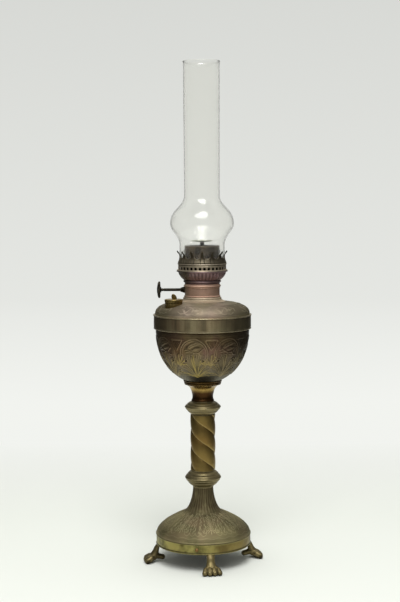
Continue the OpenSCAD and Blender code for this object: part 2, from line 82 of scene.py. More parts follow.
class LampSizes(bpy.types.PropertyGroup):
    """Sizes of the ornament and of the sheet metal."""

    relief: bpy.props.FloatProperty(
        name="Relief", description="Height of the embossing on the bowl, in millimetres", default=0.8, min=0, max=1.5
    )
    arches: bpy.props.IntProperty(
        name="Arches", description="Number of arches round the bowl", default=8, min=6, max=10
    )
    flutes: bpy.props.IntProperty(
        name="Flutes", description="Number of flutes round the air bowl", default=36, min=24, max=48
    )
    air_holes: bpy.props.IntProperty(
        name="Air holes", description="Number of holes in the gallery's ring", default=34, min=24, max=36
    )
    prongs: bpy.props.IntProperty(
        name="Prongs", description="Number of prongs that hold the glass", default=14, min=12, max=16
    )
    sheet: bpy.props.FloatProperty(
        name="Sheet", description="Thickness of the spun brass, in millimetres", default=1.2, min=0.8, max=1.6
    )
    glass_wall: bpy.props.FloatProperty(
        name="Glass wall", description="Thickness of the glass, in millimetres", default=1.8, min=1.2, max=2.4
    )


def colour_property(name, description, value):
    """A colour that a user can change, as red, green and blue in linear light."""
    return bpy.props.FloatVectorProperty(
        name=name, description=description, default=value, subtype="COLOR", size=3, min=0, max=1
    )


class LampColours(bpy.types.PropertyGroup):
    """Colours of the finishes."""

    dome: colour_property("Dome", "Patina of the base dome", (0.275, 0.24, 0.120))
    base: colour_property("Base band", "Mottled brass of the base's band", (0.215, 0.190, 0.062))
    paw: colour_property("Paws", "Cast brass of the feet", (0.165, 0.131, 0.057))
    knop: colour_property("Knops", "Olive brass of the two knops", (0.215, 0.175, 0.084))
    column: colour_property("Column", "Brown brass of the column", (0.19, 0.137, 0.042))
    socket: colour_property("Socket", "Golden brass of the socket", (0.38, 0.25, 0.072))
    ring: colour_property("Ring", "Nearly black ring under the font", (0.049, 0.026, 0.004))
    bowl: colour_property("Bowl", "Dark ground of the embossed bowl", (0.166, 0.120, 0.060))
    band: colour_property("Font band", "Brown brass of the font's band", (0.37, 0.31, 0.18))
    shoulder: colour_property("Shoulder", "Dull brass of the shoulder", (0.48, 0.389, 0.296))
    collar: colour_property("Collar", "Pale brass of the collar", (0.62, 0.51, 0.365))
    cap: colour_property("Cap", "Dark brass of the filler cap", (0.165, 0.115, 0.035))
    copper: colour_property("Neck", "Reddish heat patina of the burner's neck", (0.88, 0.59, 0.44))
    mauve: colour_property("Air bowl", "Mauve heat patina of the air bowl", (0.27, 0.18, 0.18))
    posts: colour_property("Gallery", "Brass of the gallery's rims", (0.50, 0.42, 0.30))
    crown: colour_property("Crown", "Bronze of the prongs", (0.175, 0.148, 0.10))
    drum: colour_property("Drum", "Bronze of the burner's drum", (0.080, 0.062, 0.042))
    bronze: colour_property("Bronze", "Dark wheel and shaft", (0.036, 0.031, 0.020))
    gilt: colour_property("Gilt", "Gilding of the palmettes", (0.44, 0.335, 0.10))
    # Also the colour of painted shade: in hollows, under parts and behind the gallery's holes.
    grime: colour_property("Grime", "Dark deposit in hollows", (0.022, 0.017, 0.009))
    glass: colour_property("Glass", "Tint of the chimney", (0.985, 0.985, 0.965))
    cotton: colour_property("Cotton", "Clean wick", (0.62, 0.57, 0.45))


class LampStage(bpy.types.PropertyGroup):
    """Camera and lighting."""

    camera_distance: bpy.props.FloatProperty(
        name="Camera distance", description="From the lamp's axis", default=1.833, unit="LENGTH", subtype="DISTANCE"
    )
    camera_height: bpy.props.FloatProperty(
        name="Camera height", description="Above the floor", default=0.542, unit="LENGTH", subtype="DISTANCE"
    )
    camera_tilt: bpy.props.FloatProperty(
        name="Camera tilt", description="Downward tilt", default=math.radians(5.08), unit="ROTATION", subtype="ANGLE"
    )
    lens: bpy.props.FloatProperty(name="Lens", description="Focal length in millimetres", default=76.66)
    backdrop: colour_property("Backdrop", "White paper of the backdrop", (0.80, 0.82, 0.77))


# Shapes


def profile(*parts):
    """One line of [radius, height] rows from single points and arrays of points, without repeated points."""
    rows = np.concatenate([np.atleast_2d(np.asarray(part, float)) for part in parts])
    step = np.linalg.norm(np.diff(rows, axis=0), axis=1)
    return rows[np.concatenate([[True], step > 1e-6])]


def bezier(start, pull_start, pull_end, end, count=24):
    """Cubic curve: the sum of its four points with the Bernstein weights of t from 0 to 1."""
    t = np.linspace(0, 1, count)[:, None]
    points = np.array([start, pull_start, pull_end, end], float)
    weights = np.hstack([(1 - t) ** 3, 3 * t * (1 - t) ** 2, 3 * t**2 * (1 - t), t**3])
    return weights @ points


def arc(centre, reach, first, last, count=12):
    """Part of a circle round centre, from the angle first to last in degrees."""
    a = np.radians(np.linspace(first, last, count))
    return np.stack([centre[0] + reach * np.cos(a), centre[1] + reach * np.sin(a)], -1)


def bead(reach, z, height, count=12):
    """Half-round bead from height z up, standing out to radius reach."""
    return arc((reach - height / 2, z + height / 2), height / 2, -90, 90, count)


def finer(line, step):
    """The same line with more points, none further than step from the next, with its corners kept."""
    length = np.linalg.norm(np.diff(line, axis=0), axis=1)
    counts = np.maximum(1, np.ceil(length / step)).astype(int)
    start = np.repeat(line[:-1], counts, axis=0)
    move = np.repeat(np.diff(line, axis=0), counts, axis=0)
    share = np.concatenate([np.arange(c) / c for c in counts])[:, None]
    return np.vstack([start + move * share, line[-1]])


def normals_of(line):
    """Unit vectors square to a line, to its right."""
    along = np.gradient(line, axis=0)
    along /= np.linalg.norm(along, axis=1)[:, None] + 1e-12
    return np.stack([along[:, 1], -along[:, 0]], -1)


def length_along(line):
    """Distance along a line from its first point."""
    return np.concatenate([[0], np.cumsum(np.linalg.norm(np.diff(line, axis=0), axis=1))])


def edges_of(line, spread):
    """How rubbed and how hollow each point of a closed profile is: the turn of the line at each corner, spread over
    its neighbours by a bell curve of their distance; turns to the left are edges, painted paler as rubbing and as
    highlight, and to the right hollows, painted darker as deposit and as shade."""
    ahead = np.roll(line, -1, axis=0) - line
    behind = line - np.roll(line, 1, axis=0)
    turn = np.arctan2(
        behind[:, 0] * ahead[:, 1] - behind[:, 1] * ahead[:, 0], (behind * ahead).sum(1)
    )
    s = length_along(line)
    whole = s[-1] + np.linalg.norm(line[0] - line[-1])
    gap = np.abs(s[:, None] - s[None, :])
    gap = np.minimum(gap, whole - gap)
    bell = np.exp(-((gap / spread) ** 2))
    return np.clip(bell @ np.clip(turn, 0, None), 0, 1), np.clip(bell @ np.clip(-turn, 0, None), 0, 1)


def around(count):
    """Angles round the lamp, evenly spaced, without the last one that closes the ring."""
    return np.arange(count) * TURN / count


def turned(r, angle, z):
    """Points at radius r, at an angle from the front towards the right, at height z."""
    r, angle, z = np.broadcast_arrays(r, angle, z)
    return np.stack([r * np.sin(angle), -r * np.cos(angle), z], -1)


def woven(points, rings=True, closed=True):
    """Quads between neighbours on a grid of points. Its columns close into rings, and its last row joins the first
    where the profile is closed."""
    rows, columns = points.shape[:2]
    i, j = np.meshgrid(np.arange(rows - (not closed)), np.arange(columns - (not rings)), indexing="ij")
    up, right = (i + 1) % rows, (j + 1) % columns
    corners = [i * columns + j, i * columns + right, up * columns + right, up * columns + j]
    return np.stack(corners, -1).reshape(-1, 4)


def make_piece(name, body, slot, finish, patches, replaces=(), sharp=math.radians(38), solid=0.0):
    """One object from patches of (points, faces, masks). Points are in millimetres, masks are values from 0 to 1 at
    the points, doubles are merged, and solid gives a single sheet its thickness inwards."""
    points, faces, start = [], [], 0
    names = sorted({key for patch in patches for key in patch[2]})
    values = {key: [] for key in names}
    for grid, quads, masks in patches:
        count = grid.shape[0] * grid.shape[1] if grid.ndim == 3 else len(grid)
        points.append(grid.reshape(-1, 3))
        faces.append(quads + start)
        for key in names:
            mask = np.broadcast_to(masks.get(key, 0.0), grid.shape[:-1])
            values[key].append(np.asarray(mask, float).ravel())
        start += count
    mesh = bpy.data.meshes.new(name)
    mesh.from_pydata(np.concatenate(points) * MM, [], np.concatenate(faces).tolist())
    for key in names:
        layer = mesh.attributes.new(key, "FLOAT", "POINT")
        layer.data.foreach_set("value", np.concatenate(values[key]).astype(np.float32))
    work = bmesh.new()
    work.from_mesh(mesh)
    bmesh.ops.remove_doubles(work, verts=work.verts, dist=2e-6)
    bmesh.ops.dissolve_degenerate(work, edges=work.edges, dist=1e-7)
    work.to_mesh(mesh)
    work.free()
    piece = bpy.data.objects.new(name, mesh)
    bpy.context.scene.collection.objects.link(piece)
    return settle(piece, body, finish, replaces, sharp, solid)


def settle(piece, body, finish, replaces=(), sharp=math.radians(38), solid=0.0):
    """Shades a piece smooth between its sharp edges, gives it its finish and hangs it on its body."""
    mesh = piece.data
    mesh.polygons.foreach_set("use_smooth", np.ones(len(mesh.polygons), bool))
    if sharp:
        mesh.set_sharp_from_angle(angle=sharp)
    if solid:
        wall = piece.modifiers.new("wall", "SOLIDIFY")
        wall.thickness = solid * MM
        wall.offset = -1
    mesh.materials.append(finish)
    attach(piece, body)
    if replaces:
        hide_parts(*replaces)
    return piece


def lathe(line, columns=128, step=0.7, spread=0.7, wave=None):
    """A closed profile turned round the lamp's axis: point (s, a) of the surface is the profile's point s at the
    angle a. Wave adds a height to the radius from the angle and the height of each point."""
    line = finer(np.vstack([line, line[:1]]), step)[:-1]
    wear, grime = edges_of(line, spread)
    angle = around(columns)[None, :]
    r, z = line[:, :1], line[:, 1:]
    reach = r + (wave(angle, z) * (r > 0.01) if wave else 0)
    points = turned(reach, angle, z)
    masks = {"wear": wear[:, None] + 0 * angle, "grime": grime[:, None] + 0 * angle}
    return points, woven(points), masks


def moved(patch, turn=None, shift=(0, 0, 0)):
    """A patch turned by a 3 by 3 matrix and shifted, in millimetres."""
    points, faces, masks = patch
    if turn is not None:
        points = points @ np.asarray(turn, float).T
    return points + np.asarray(shift, float), faces, masks


def smooth_step(low, high, value):
    """0 below low, 1 above high, and 3t^2 - 2t^3 between them."""
    t = np.clip((value - low) / (high - low), 0, 1)
    return t * t * (3 - 2 * t)


def bump_line(distance, width):
    """Height of a raised line across its width: 1 at its middle and 0 at its edges, as half a cosine."""
    t = np.clip(distance / width, 0, 1)
    return 0.5 + 0.5 * np.cos(np.pi * t)


def from_segment(u, v, start, end):
    """Distance from each point (u, v) to a straight segment, and how far along it the nearest point is."""
    d = np.subtract(end, start)
    t = np.clip(((u - start[0]) * d[0] + (v - start[1]) * d[1]) / (d @ d), 0, 1)
    return np.hypot(u - start[0] - t * d[0], v - start[1] - t * d[1]), t


def from_line(u, v, points):
    """Distance from each point (u, v) to a line of points, and the share of its length at the nearest point."""
    points = np.asarray(points, float)
    s = length_along(points) / length_along(points)[-1]
    best, share = np.full(u.shape, 1e9), np.zeros(u.shape)
    for start, end, s0, s1 in zip(points[:-1], points[1:], s[:-1], s[1:]):
        gap, t = from_segment(u, v, start, end)
        nearer = gap < best
        best = np.where(nearer, gap, best)
        share = np.where(nearer, s0 + t * (s1 - s0), share)
    return best, share


def leaf(u, v, points, width):
    """A leaf along a line: full width at a third of its length, pointed at both ends, with a groove on its midrib.
    Returns its height from 0 to 1 and the groove's depth."""
    gap, share = from_line(u, v, points)
    half = width * np.sin(np.pi * np.clip(share, 0.02, 0.98) ** 0.75)
    body = np.sqrt(np.clip(1 - (gap / np.maximum(half, 1e-6)) ** 2, 0, 1))
    return body, body * bump_line(gap, 0.35 * width)


# Finishes


class Socket:
    """An output of a shader node. Sums, products and powers of it become Math nodes."""

    def __init__(self, shader, output):
        self.shader = shader
        self.output = output

    def maths(self, operation, *values):
        settings = {"operation": operation}
        inputs = {place: value for place, value in enumerate(values)}
        return self.shader.node("ShaderNodeMath", settings, inputs)

    def __add__(self, other):
        return self.maths("ADD", self, other)

    def __sub__(self, other):
        return self.maths("SUBTRACT", self, other)

    def __rsub__(self, other):
        return self.maths("SUBTRACT", other, self)

    def __mul__(self, other):
        return self.maths("MULTIPLY", self, other)

    def __truediv__(self, other):
        return self.maths("DIVIDE", self, other)

    def __pow__(self, other):
        return self.maths("POWER", self, other)

    __radd__ = __add__
    __rmul__ = __mul__

    def part(self, name):
        """Another output of the same node."""
        return Socket(self.shader, self.output.node.outputs[name])

    def between(self, low, high):
        """0 below low, 1 above high and an even slope between them."""
        settings = {"clamp": True}
        inputs = {"Value": self, "From Min": low, "From Max": high}
        return self.shader.node("ShaderNodeMapRange", settings, inputs)


class Finish:
    """A material, or a world, under construction: its node tree and the ways to add to it."""

    def __init__(self, name, kind="materials"):
        self.material = getattr(bpy.data, kind).new(name)
        self.material.use_nodes = True
        self.tree = self.material.node_tree
        self.tree.nodes.clear()
        self.place = self.node("ShaderNodeTexCoord", output="Object")

    def node(self, kind, settings=None, inputs=None, output=0):
        """Adds a node, sets it, links or sets its inputs and returns one of its outputs."""
        node = self.tree.nodes.new(kind)
        for key, value in (settings or {}).items():
            setattr(node, key, value)
        for key, value in (inputs or {}).items():
            if isinstance(value, Socket):
                self.tree.links.new(value.output, node.inputs[key])
            else:
                node.inputs[key].default_value = value
        return Socket(self, node.outputs[output]) if node.outputs else None

    def mask(self, name):
        """A value that the mesh carries at its points."""
        return self.node("ShaderNodeAttribute", {"attribute_name": name}, output="Fac")

    def stretched(self, scale):
        """The place on the piece with each axis scaled, for streaks."""
        return self.node("ShaderNodeMapping", inputs={"Vector": self.place, "Scale": scale})

    def along(self, axis):
        """Distance along X, Y or Z from the lamp's foot, in metres."""
        return self.node("ShaderNodeSeparateXYZ", inputs={0: self.place}, output=axis)

    def noise(self, scale, detail=3.0, roughness=0.55, place=None):
        inputs = {"Vector": place or self.place, "Scale": scale, "Detail": detail, "Roughness": roughness}
        return self.node("ShaderNodeTexNoise", inputs=inputs)

    def mix(self, factor, first, second, blend="MIX"):
        """Colour first where factor is 0 and second where it is 1."""
        settings = {"data_type": "RGBA", "blend_type": blend}
        inputs = {0: factor, 6: as_colour(first), 7: as_colour(second)}
        return self.node("ShaderNodeMix", settings, inputs, output=2)

    def shaded_sides(self, tone, tint, start, end, strength, shift=0.008):
        """Painted shade: the tone darkened to a tint beyond a distance from the axis to either side, with an uneven
            border. The tint begins nearer on the right, by the shift."""
        across = self.along("X") + shift
        away = across.maths("ABSOLUTE", across) + 0.03 * (self.noise(26.0) - 0.5)
        return self.mix(away.between(start, end) * strength, tone, tint)

    def bump(self, height, distance, strength=1.0):
        inputs = {"Height": height, "Distance": distance, "Strength": strength}
        return self.node("ShaderNodeBump", inputs=inputs)

    def shade(self, **inputs):
        """Ends the tree with a Principled shader. Underscores stand for the spaces of its sockets' names."""
        inputs = {key.replace("_", " "): as_colour(value) for key, value in inputs.items()}
        shader = self.node("ShaderNodeBsdfPrincipled", inputs=inputs)
        self.node("ShaderNodeOutputMaterial", inputs={"Surface": shader})
        return self.material


def as_colour(value):
    """Red, green and blue with an alpha of 1; anything else as it is."""
    if isinstance(value, Socket) or not hasattr(value, "__len__"):
        return value
    return (*tuple(value)[:3], 1.0)


def shades(colour, factor):
    """A colour made darker or lighter by a factor."""
    return tuple(min(1.0, c * factor) for c in tuple(colour)[:3])


def colours():
    return bpy.context.scene.lamp_colours


def sizes():
    return bpy.context.scene.lamp_sizes


def pale(colour, factor):
    """A colour made lighter by a factor and a little greyer, as rubbed metal and its painted highlights are."""
    mean = sum(tuple(colour)[:3]) / 3
    return tuple(min(1.0, factor * (0.85 * c + 0.15 * mean)) for c in tuple(colour)[:3])


def brass_finish(
    name, base, roughness=0.42, mottle=0.3, lift=2.4, wear=0.8, dirt_and_shade=0.6, streaks=0.0, tint=None, patches=22.0, side_shade=None
):
    """Patinated brass: cloudy tones of base, lifted to a paler tone on edges and raised ornament as rubbing and
    painted highlight, and dark in hollows as deposit and painted shade. Streaks run up and down as painted
    reflections, lighter and darker, tint is a second hue in wide clouds, patches is the scale of the clouds, and
    side shade is the painted shade that darkens the sides."""
    f = Finish(name)
    clouds = f.noise(patches, 4.0)
    grain = f.noise(160.0, 5.0, 0.65)
    fine = f.noise(900.0, 3.0, 0.6)
    tone = f.mix(clouds.between(0.40, 0.60), shades(base, 1 - mottle), shades(base, 1 + mottle))
    if tint:
        tone = f.mix(f.noise(13.0, 2.0).between(0.45, 0.64) * 0.85, tone, tint)
    if streaks:
        # Painted reflections: upright streaks, lighter and darker than the base.
        bands = f.noise(1.0, 3.0, place=f.stretched((75, 75, 3)))
        tone = f.mix(bands.between(0.50, 0.66) * streaks, tone, shades(base, 1.8))
        tone = f.mix(bands.between(0.46, 0.34) * streaks, tone, shades(base, 0.45))
    if side_shade:
        tone = f.shaded_sides(tone, *side_shade)
    tone = f.mix((grain.between(0.55, 0.8) * 0.35), tone, shades(base, 0.45))
    # Paler on edges and raised ornament as rubbing and painted highlight, darker in hollows as deposit and painted
    # shade.
    worn_and_lit = f.mask("wear") * grain.between(0.25, 0.6) * wear
    tone = f.mix(worn_and_lit, tone, pale(base, lift))
    hollow = f.mask("grime") * clouds.between(0.1, 0.45) * dirt_and_shade
    tone = f.mix(hollow, tone, colours().grime)
    gloss = roughness + 0.16 * (grain - 0.5) - worn_and_lit * 0.1 + hollow * 0.25
    relief = f.bump(grain * 0.7 + fine * 0.3, 0.00012)
    return f.shade(Base_Color=tone, Metallic=0.9, Roughness=gloss, Normal=relief)


def burner_finish(name, base, soot, roughness=0.4, lift=1.7, reach=0.018, dirt_and_shade=0.35):
    """Heat-coloured brass of the burner: its base runs into redder clouds, and its left side, beyond reach from
    the axis, is darkened as painted shade, partly sooty."""
    f = Finish(name)
    clouds = f.noise(24.0, 4.0)
    grain = f.noise(170.0, 5.0, 0.65)
    tone = f.mix(clouds.between(0.38, 0.64), shades(base, 0.8), shades(base, 1.2))
    red, green, blue = tuple(base)[:3]
    tone = f.mix(f.noise(34.0, 2.0).between(0.48, 0.7) * 0.6, tone, (0.98 * red, 0.80 * green, 0.86 * blue))
    worn_and_lit = f.mask("wear") * grain.between(0.2, 0.5)
    tone = f.mix(worn_and_lit * 0.75, tone, pale(base, lift))
    # The left side is darkened as painted shade, partly sooty.
    side = f.node("ShaderNodeSeparateXYZ", inputs={0: f.place})
    left = (side + 0.012 * (clouds - 0.5)).between(-reach + 0.003, -reach - 0.004)
    tone = f.mix(left * 0.8, tone, soot)
    hollow = f.mask("grime") * dirt_and_shade
    tone = f.mix(hollow, tone, colours().grime)
    gloss = roughness + 0.16 * (grain - 0.5) - worn_and_lit * 0.08
    return f.shade(Base_Color=tone, Metallic=0.88, Roughness=gloss, Normal=f.bump(grain, 0.00012))


def embossed_finish(name, base, roughness=0.4, stipple=0.3, lift=2.0, tints=(), zone=None, streaks=0.0, side_shade=None):
    """Embossed sheet: dark ground in clouds of its tints, paler on the raised lines as rubbing and painted highlight,
    gilt where the ornament is marked and nearly black in the hollows as deposit and painted shade. Zone is a tint
    painted in as reflection and shade, and the heights where it starts and is full, streaks run up and down in it
    as painted reflections, and side shade is the painted shade that darkens the sides."""
    f = Finish(name)
    clouds = f.noise(20.0, 4.0)
    grain = f.noise(210.0, 5.0, 0.65)
    tone = f.mix(clouds.between(0.40, 0.60), shades(base, 0.6), shades(base, 1.4))
    for scale, tint in zip((31.0, 17.0), tints):
        tone = f.mix(f.noise(scale, 2.0).between(0.49, 0.64) * 0.75, tone, tint)
    dull = 0.0
    # Zone: a tint painted in over a band of heights, as reflection and shade.
    if zone:
        height = f.along("Z") + 0.014 * (clouds - 0.5)
        inside = height.between(zone[1], zone[2]) * 0.8
        dull = 0.12 * inside
        if streaks:
            bands = f.noise(1.0, 3.0, place=f.stretched((190, 190, 14)))
            inside = inside * (1 - streaks * bands.between(0.48, 0.68))
        tone = f.mix(inside, tone, zone[0])
    worn_and_lit = f.mask("wear") * grain.between(0.2, 0.55)
    tone = f.mix(worn_and_lit * 0.8, tone, pale(base, lift))
    if side_shade:
        tone = f.shaded_sides(tone, *side_shade)
    hollow = f.mask("grime") * (0.55 + 0.45 * clouds)
    tone = f.mix(hollow * 0.85, tone, colours().grime)
    left_over = grain.between(0.1, 0.45) * (0.45 + 0.55 * f.noise(95.0, 3.0).between(0.42, 0.56))
    tone = f.mix(f.mask("gilt") * left_over, tone, colours().gilt)
    dots = f.node("ShaderNodeTexVoronoi", inputs={"Vector": f.place, "Scale": 900.0})
    height = grain * 0.6 + dots.between(0.0, 0.5) * stipple
    gloss = roughness + 0.16 * (grain - 0.5) - worn_and_lit * 0.08 + hollow * 0.15 + dull
    return f.shade(Base_Color=tone, Metallic=0.88, Roughness=gloss, Normal=f.bump(height, 0.00015))


def socket_finish():
    """Golden brass above that runs into a dark red-brown patina near the socket's foot."""
    f = Finish("socket_brass")
    base = colours().socket
    clouds = f.noise(40.0, 4.0)
    grain = f.noise(160.0, 5.0, 0.65)
    tone = f.mix(clouds.between(0.35, 0.65), shades(base, 0.75), shades(base, 1.25))
    tone = f.mix(f.mask("wear") * 0.35, tone, pale(base, 1.8))
    height = f.node("ShaderNodeSeparateXYZ", inputs={0: f.place}, output="Z") + 0.008 * (clouds - 0.5)
    foot = level("font_socket") * MM
    below = height.between(foot + 0.0175, foot + 0.0115)
    tone = f.mix(below, tone, (0.060, 0.026, 0.007))
    gloss = 0.27 + 0.1 * (grain - 0.5) + 0.12 * below
    return f.shade(Base_Color=tone, Metallic=0.9, Roughness=gloss, Normal=f.bump(grain, 0.0001))


def finishes():
    """Every finish of the lamp by its plain name, made once."""
    if not FINISHES:
        c = colours()
        FINISHES.update(
            # Bowl: its lower part is painted pale grey as the floor's reflection, and its sides painted dark as shade.
            bowl=embossed_finish(
                "bowl_brass", c.bowl, 0.42, 0.2, 2.2, ((0.175, 0.095, 0.072), (0.195, 0.115, 0.048)),
                ((0.142, 0.142, 0.112), 0.312, 0.280), side_shade=((0.050, 0.046, 0.032), 0.022, 0.062, 0.75),
            ),
            # Dome: its neck is painted darker as shade, broken by painted upright reflections.
            dome=embossed_finish(
                "dome_brass", c.dome, 0.60, 0.4, 2.3, ((0.30, 0.225, 0.13), (0.235, 0.205, 0.105)),
                ((0.060, 0.039, 0.020), 0.066, 0.082), 0.55,
            ),
            # Shoulder: its sides are painted darker as shade.
            shoulder=embossed_finish(
                "shoulder_brass", c.shoulder, 0.70, 0.4, 1.1, ((0.52, 0.39, 0.31), (0.38, 0.33, 0.21)),
                side_shade=((0.185, 0.175, 0.09), 0.018, 0.048, 0.65),
            ),
            knop=brass_finish("knop_brass", c.knop, 0.45, 0.3, 1.8, 0.8, 0.35),
            # Band: painted upright reflections and painted shade at its sides.
            band=brass_finish(
                "band_brass", c.band, 0.46, 0.3, 1.5, streaks=0.7, tint=(0.40, 0.26, 0.155),
                side_shade=((0.075, 0.062, 0.036), 0.020, 0.058, 0.8),
            ),
            base=brass_finish("base_band_brass", c.base, 0.42, 0.85, 1.5, tint=(0.22, 0.16, 0.052), patches=38.0),
            paw=brass_finish("paw_brass", c.paw, 0.50, 0.45, 2.6, 0.8, 0.9),
            gold=brass_finish("gold_brass", (0.42, 0.32, 0.095), 0.34, 0.4, 1.5),
            column=brass_finish("column_brass", c.column, 0.42, 0.3, 2.2, tint=(0.22, 0.13, 0.034)),
            socket=socket_finish(),
            # Neck and air bowl: their left sides are darkened as painted shade, partly sooty.
            copper=burner_finish("copper_patina", c.copper, (0.66, 0.54, 0.39), 0.74, 1.0, 0.0215),
            mauve=burner_finish("mauve_patina", c.mauve, (0.085, 0.075, 0.046), 0.50, 1.5, 0.019, 0.2),
            collar=brass_finish("collar_brass", c.collar, 0.66, 0.2, 1.1, dirt_and_shade=0.3),
            posts=brass_finish("gallery_brass", c.posts, 0.48, 0.3, 1.5, 1.0, 1.0),
            crown=brass_finish("crown_bronze", c.crown, 0.50, 0.4, 2.2, 1.0, 0.8),
            bronze=brass_finish("dark_bronze", c.bronze, 0.42, 0.35, 3.0),
            screw=brass_finish("screw_brass", (0.33, 0.19, 0.070), 0.40, 0.4, 1.5),
            cap=brass_finish("cap_bronze", c.cap, 0.42, 0.35, 3.4, 1.0, 0.9),
            # Wick tubes: sooty, and dark as the painted shade seen through the gallery's holes.
            soot=brass_finish("sooty_brass", (0.035, 0.030, 0.022), 0.55, 0.4),
            # Drum: painted upright reflections and painted shade at its sides.
            drum=brass_finish(
                "drum_bronze", c.drum, 0.47, 0.6, 2.2, streaks=0.85, patches=75.0,
                side_shade=((0.032, 0.027, 0.019), 0.009, 0.023, 0.7),
            ),
            ring=brass_finish("ring_bronze", c.ring, 0.32, 0.5, 4.0),
            dish=brass_finish("spreader_metal", (0.50, 0.52, 0.40), 0.5, 0.15, 1.3),
            iron=iron_finish(),
            steel=steel_finish(),
            leather=leather_finish(),
            cotton=cotton_finish(c.cotton),
            glass=glass_finish(c.glass),
        )
    return FINISHES


FINISHES = {}


def iron_finish():
    """Rough cast iron, nearly black with brown bloom."""
    f = Finish("cast_iron")
    rough = f.noise(240.0, 6.0, 0.7)
    tone = f.mix(f.noise(40.0).between(0.5, 0.75), (0.030, 0.029, 0.028), (0.085, 0.050, 0.030))
    return f.shade(Base_Color=tone, Metallic=0.3, Roughness=0.75 + 0.2 * (rough - 0.5), Normal=f.bump(rough, 0.0006))


def steel_finish():
    """Plain turned steel with a little tarnish."""
    f = Finish("turned_steel")
    lines = f.noise(1.0, 4.0, place=f.stretched((60, 60, 2600)))
    tone = f.mix(f.noise(90.0).between(0.45, 0.8), (0.34, 0.33, 0.31), (0.16, 0.13, 0.10))
    return f.shade(Base_Color=tone, Metallic=1.0, Roughness=0.34 + 0.15 * (lines - 0.5), Normal=f.bump(lines, 0.00005))


def leather_finish():
    """Pressed leather of the washers."""
    f = Finish("leather")
    pores = f.node("ShaderNodeTexVoronoi", inputs={"Vector": f.place, "Scale": 1400.0})
    tone = f.mix(f.noise(120.0).between(0.35, 0.7), (0.10, 0.058, 0.030), (0.19, 0.115, 0.062))
    return f.shade(Base_Color=tone, Roughness=0.62 + 0.1 * pores, Normal=f.bump(pores, 0.0002))


def cotton_finish(clean):
    """Woven cotton, charred brown where the flame stands."""
    f = Finish("wick_cotton")
    height = f.node("ShaderNodeSeparateXYZ", inputs={0: f.place}, output="Z")
    rim = level("wick", True) * MM
    char = height.between(rim - 0.004, rim)
    weave = f.noise(1500.0, 2.0)
    tone = f.mix(weave.between(0.3, 0.7), shades(clean, 0.72), clean)
    tone = f.mix(char, tone, (0.030, 0.022, 0.016))
    return f.shade(Base_Color=tone, Roughness=0.9 - 0.05 * weave, Normal=f.bump(weave, 0.0002))


def glass_finish(tint):
    """Clear blown glass with faint ripples and dust near its foot."""
    f = Finish("clear_glass")
    ripples = f.noise(1.0, 2.0, place=f.stretched((22, 22, 9)))
    dust = f.noise(70.0, 4.0).between(0.5, 0.9)
    height = f.node("ShaderNodeSeparateXYZ", inputs={0: f.place}, output="Z")
    haze = dust * (1 - height.between(0.43, 0.56)) * 0.12
    relief = f.bump(ripples, 0.0004, 0.35)
    return f.shade(Base_Color=tint, Roughness=haze + 0.13, IOR=1.46, Transmission_Weight=1.0, Normal=relief)


# Stand


def dome_line():
    """Outer line of the base dome, from its rolled rim to its neck."""
    reach = radius("base_dome") - 1.2
    low, top = level("base_band", True), level("base_dome", True)
    bell = bezier((reach, low + 3), (reach - 1.1, low + 13.5), (46, low + 24.3), (28.6, low + 32.1), 84)
    neck = bezier((28.6, low + 32.1), (20.6, low + 36.3), (15.2, top - 17), (14.4, top), 48)
    return np.vstack([bell, neck])


def dome_relief(angle, reach, run):
    """Height of one bay of the dome's ornament and the ground between it, centred on a palmette. Run is the
    distance from the rim. Thin blades fan down from the foot of the neck with short strokes between them, a
    feathered leaf fills each gap, and a scalloped line follows the rim."""
    half_bay = TURN / 16
    u = angle * reach
    at_gap = (np.abs(angle) - half_bay) * reach
    v = np.broadcast_to(run, u.shape)
    blades, twigs = [], []
    for k, t in enumerate(np.linspace(-1, 1, 9)):
        t += 0.06 * math.sin(2.7 * k + 1)
        end = 14 + 6 * abs(t) ** 1.6 + 2.5 * math.sin(1.9 * k)
        blades.append([(4.5 * t, 54), (8.5 * t, 42), (12.5 * t + 0.6 * math.sin(3.1 * k), 30), (15 * t, end)])
        for low in (19, 27, 36, 45):
            low, side = low + 2 * math.sin(4.3 * k + low), math.copysign(1, t + 0.01)
            twigs.append([((15 - 0.19 * (low - 15)) * t, low + 4), ((15 - 0.19 * (low - 15)) * t + 1.7 * side, low)])
    dashes = 0.25 + 0.75 * smooth_step(-0.5, 0.2, np.sin(0.62 * v + 2.2 * np.sin(0.8 * u + 0.5)))
    palm = np.maximum(strokes(u, v, blades, 0.55) * dashes, 0.9 * strokes(u, v, twigs, 0.5))
    rib = [[(0, 52), (-0.8, 34), (0, 13)]]
    barbs = [[(-0.4, s), (-4.2 + 0.05 * (s - 30), s - 6.0)] for s in np.arange(21, 54, 3.8)]
    curl = [[(-5, 20), (-7.5, 15.5), (-11, 15.5), (-12, 18.5), (-10, 20)]]
    filling = np.maximum(strokes(at_gap, v, rib + barbs, 0.55), 0.8 * strokes(at_gap, v, curl, 0.6))
    hem = [[(c - 4.2, 15.5), (c - 3, 11.5), (c, 9.6), (c + 3, 11.2), (c + 4.0, 15)] for c in (-12.5, -4.2, 4.2, 12.5)]
    palm = np.maximum(palm, 0.45 * strokes(u, v, hem, 0.6))
    zone = smooth_step(6.5, 9.5, v) * (1 - smooth_step(48, 60, v))
    flutes = 0.25 * np.clip(np.cos(32 * angle + 0.8 * np.sin(0.12 * v)), 0, 1) ** 2 * smooth_step(50, 60, v)
    scallop = 0.3 * bump_line(np.abs(v - 5.5 - 0.9 * np.cos(24 * angle)), 0.8)
    return np.maximum.reduce([np.maximum(palm, filling) * zone, flutes, scallop])


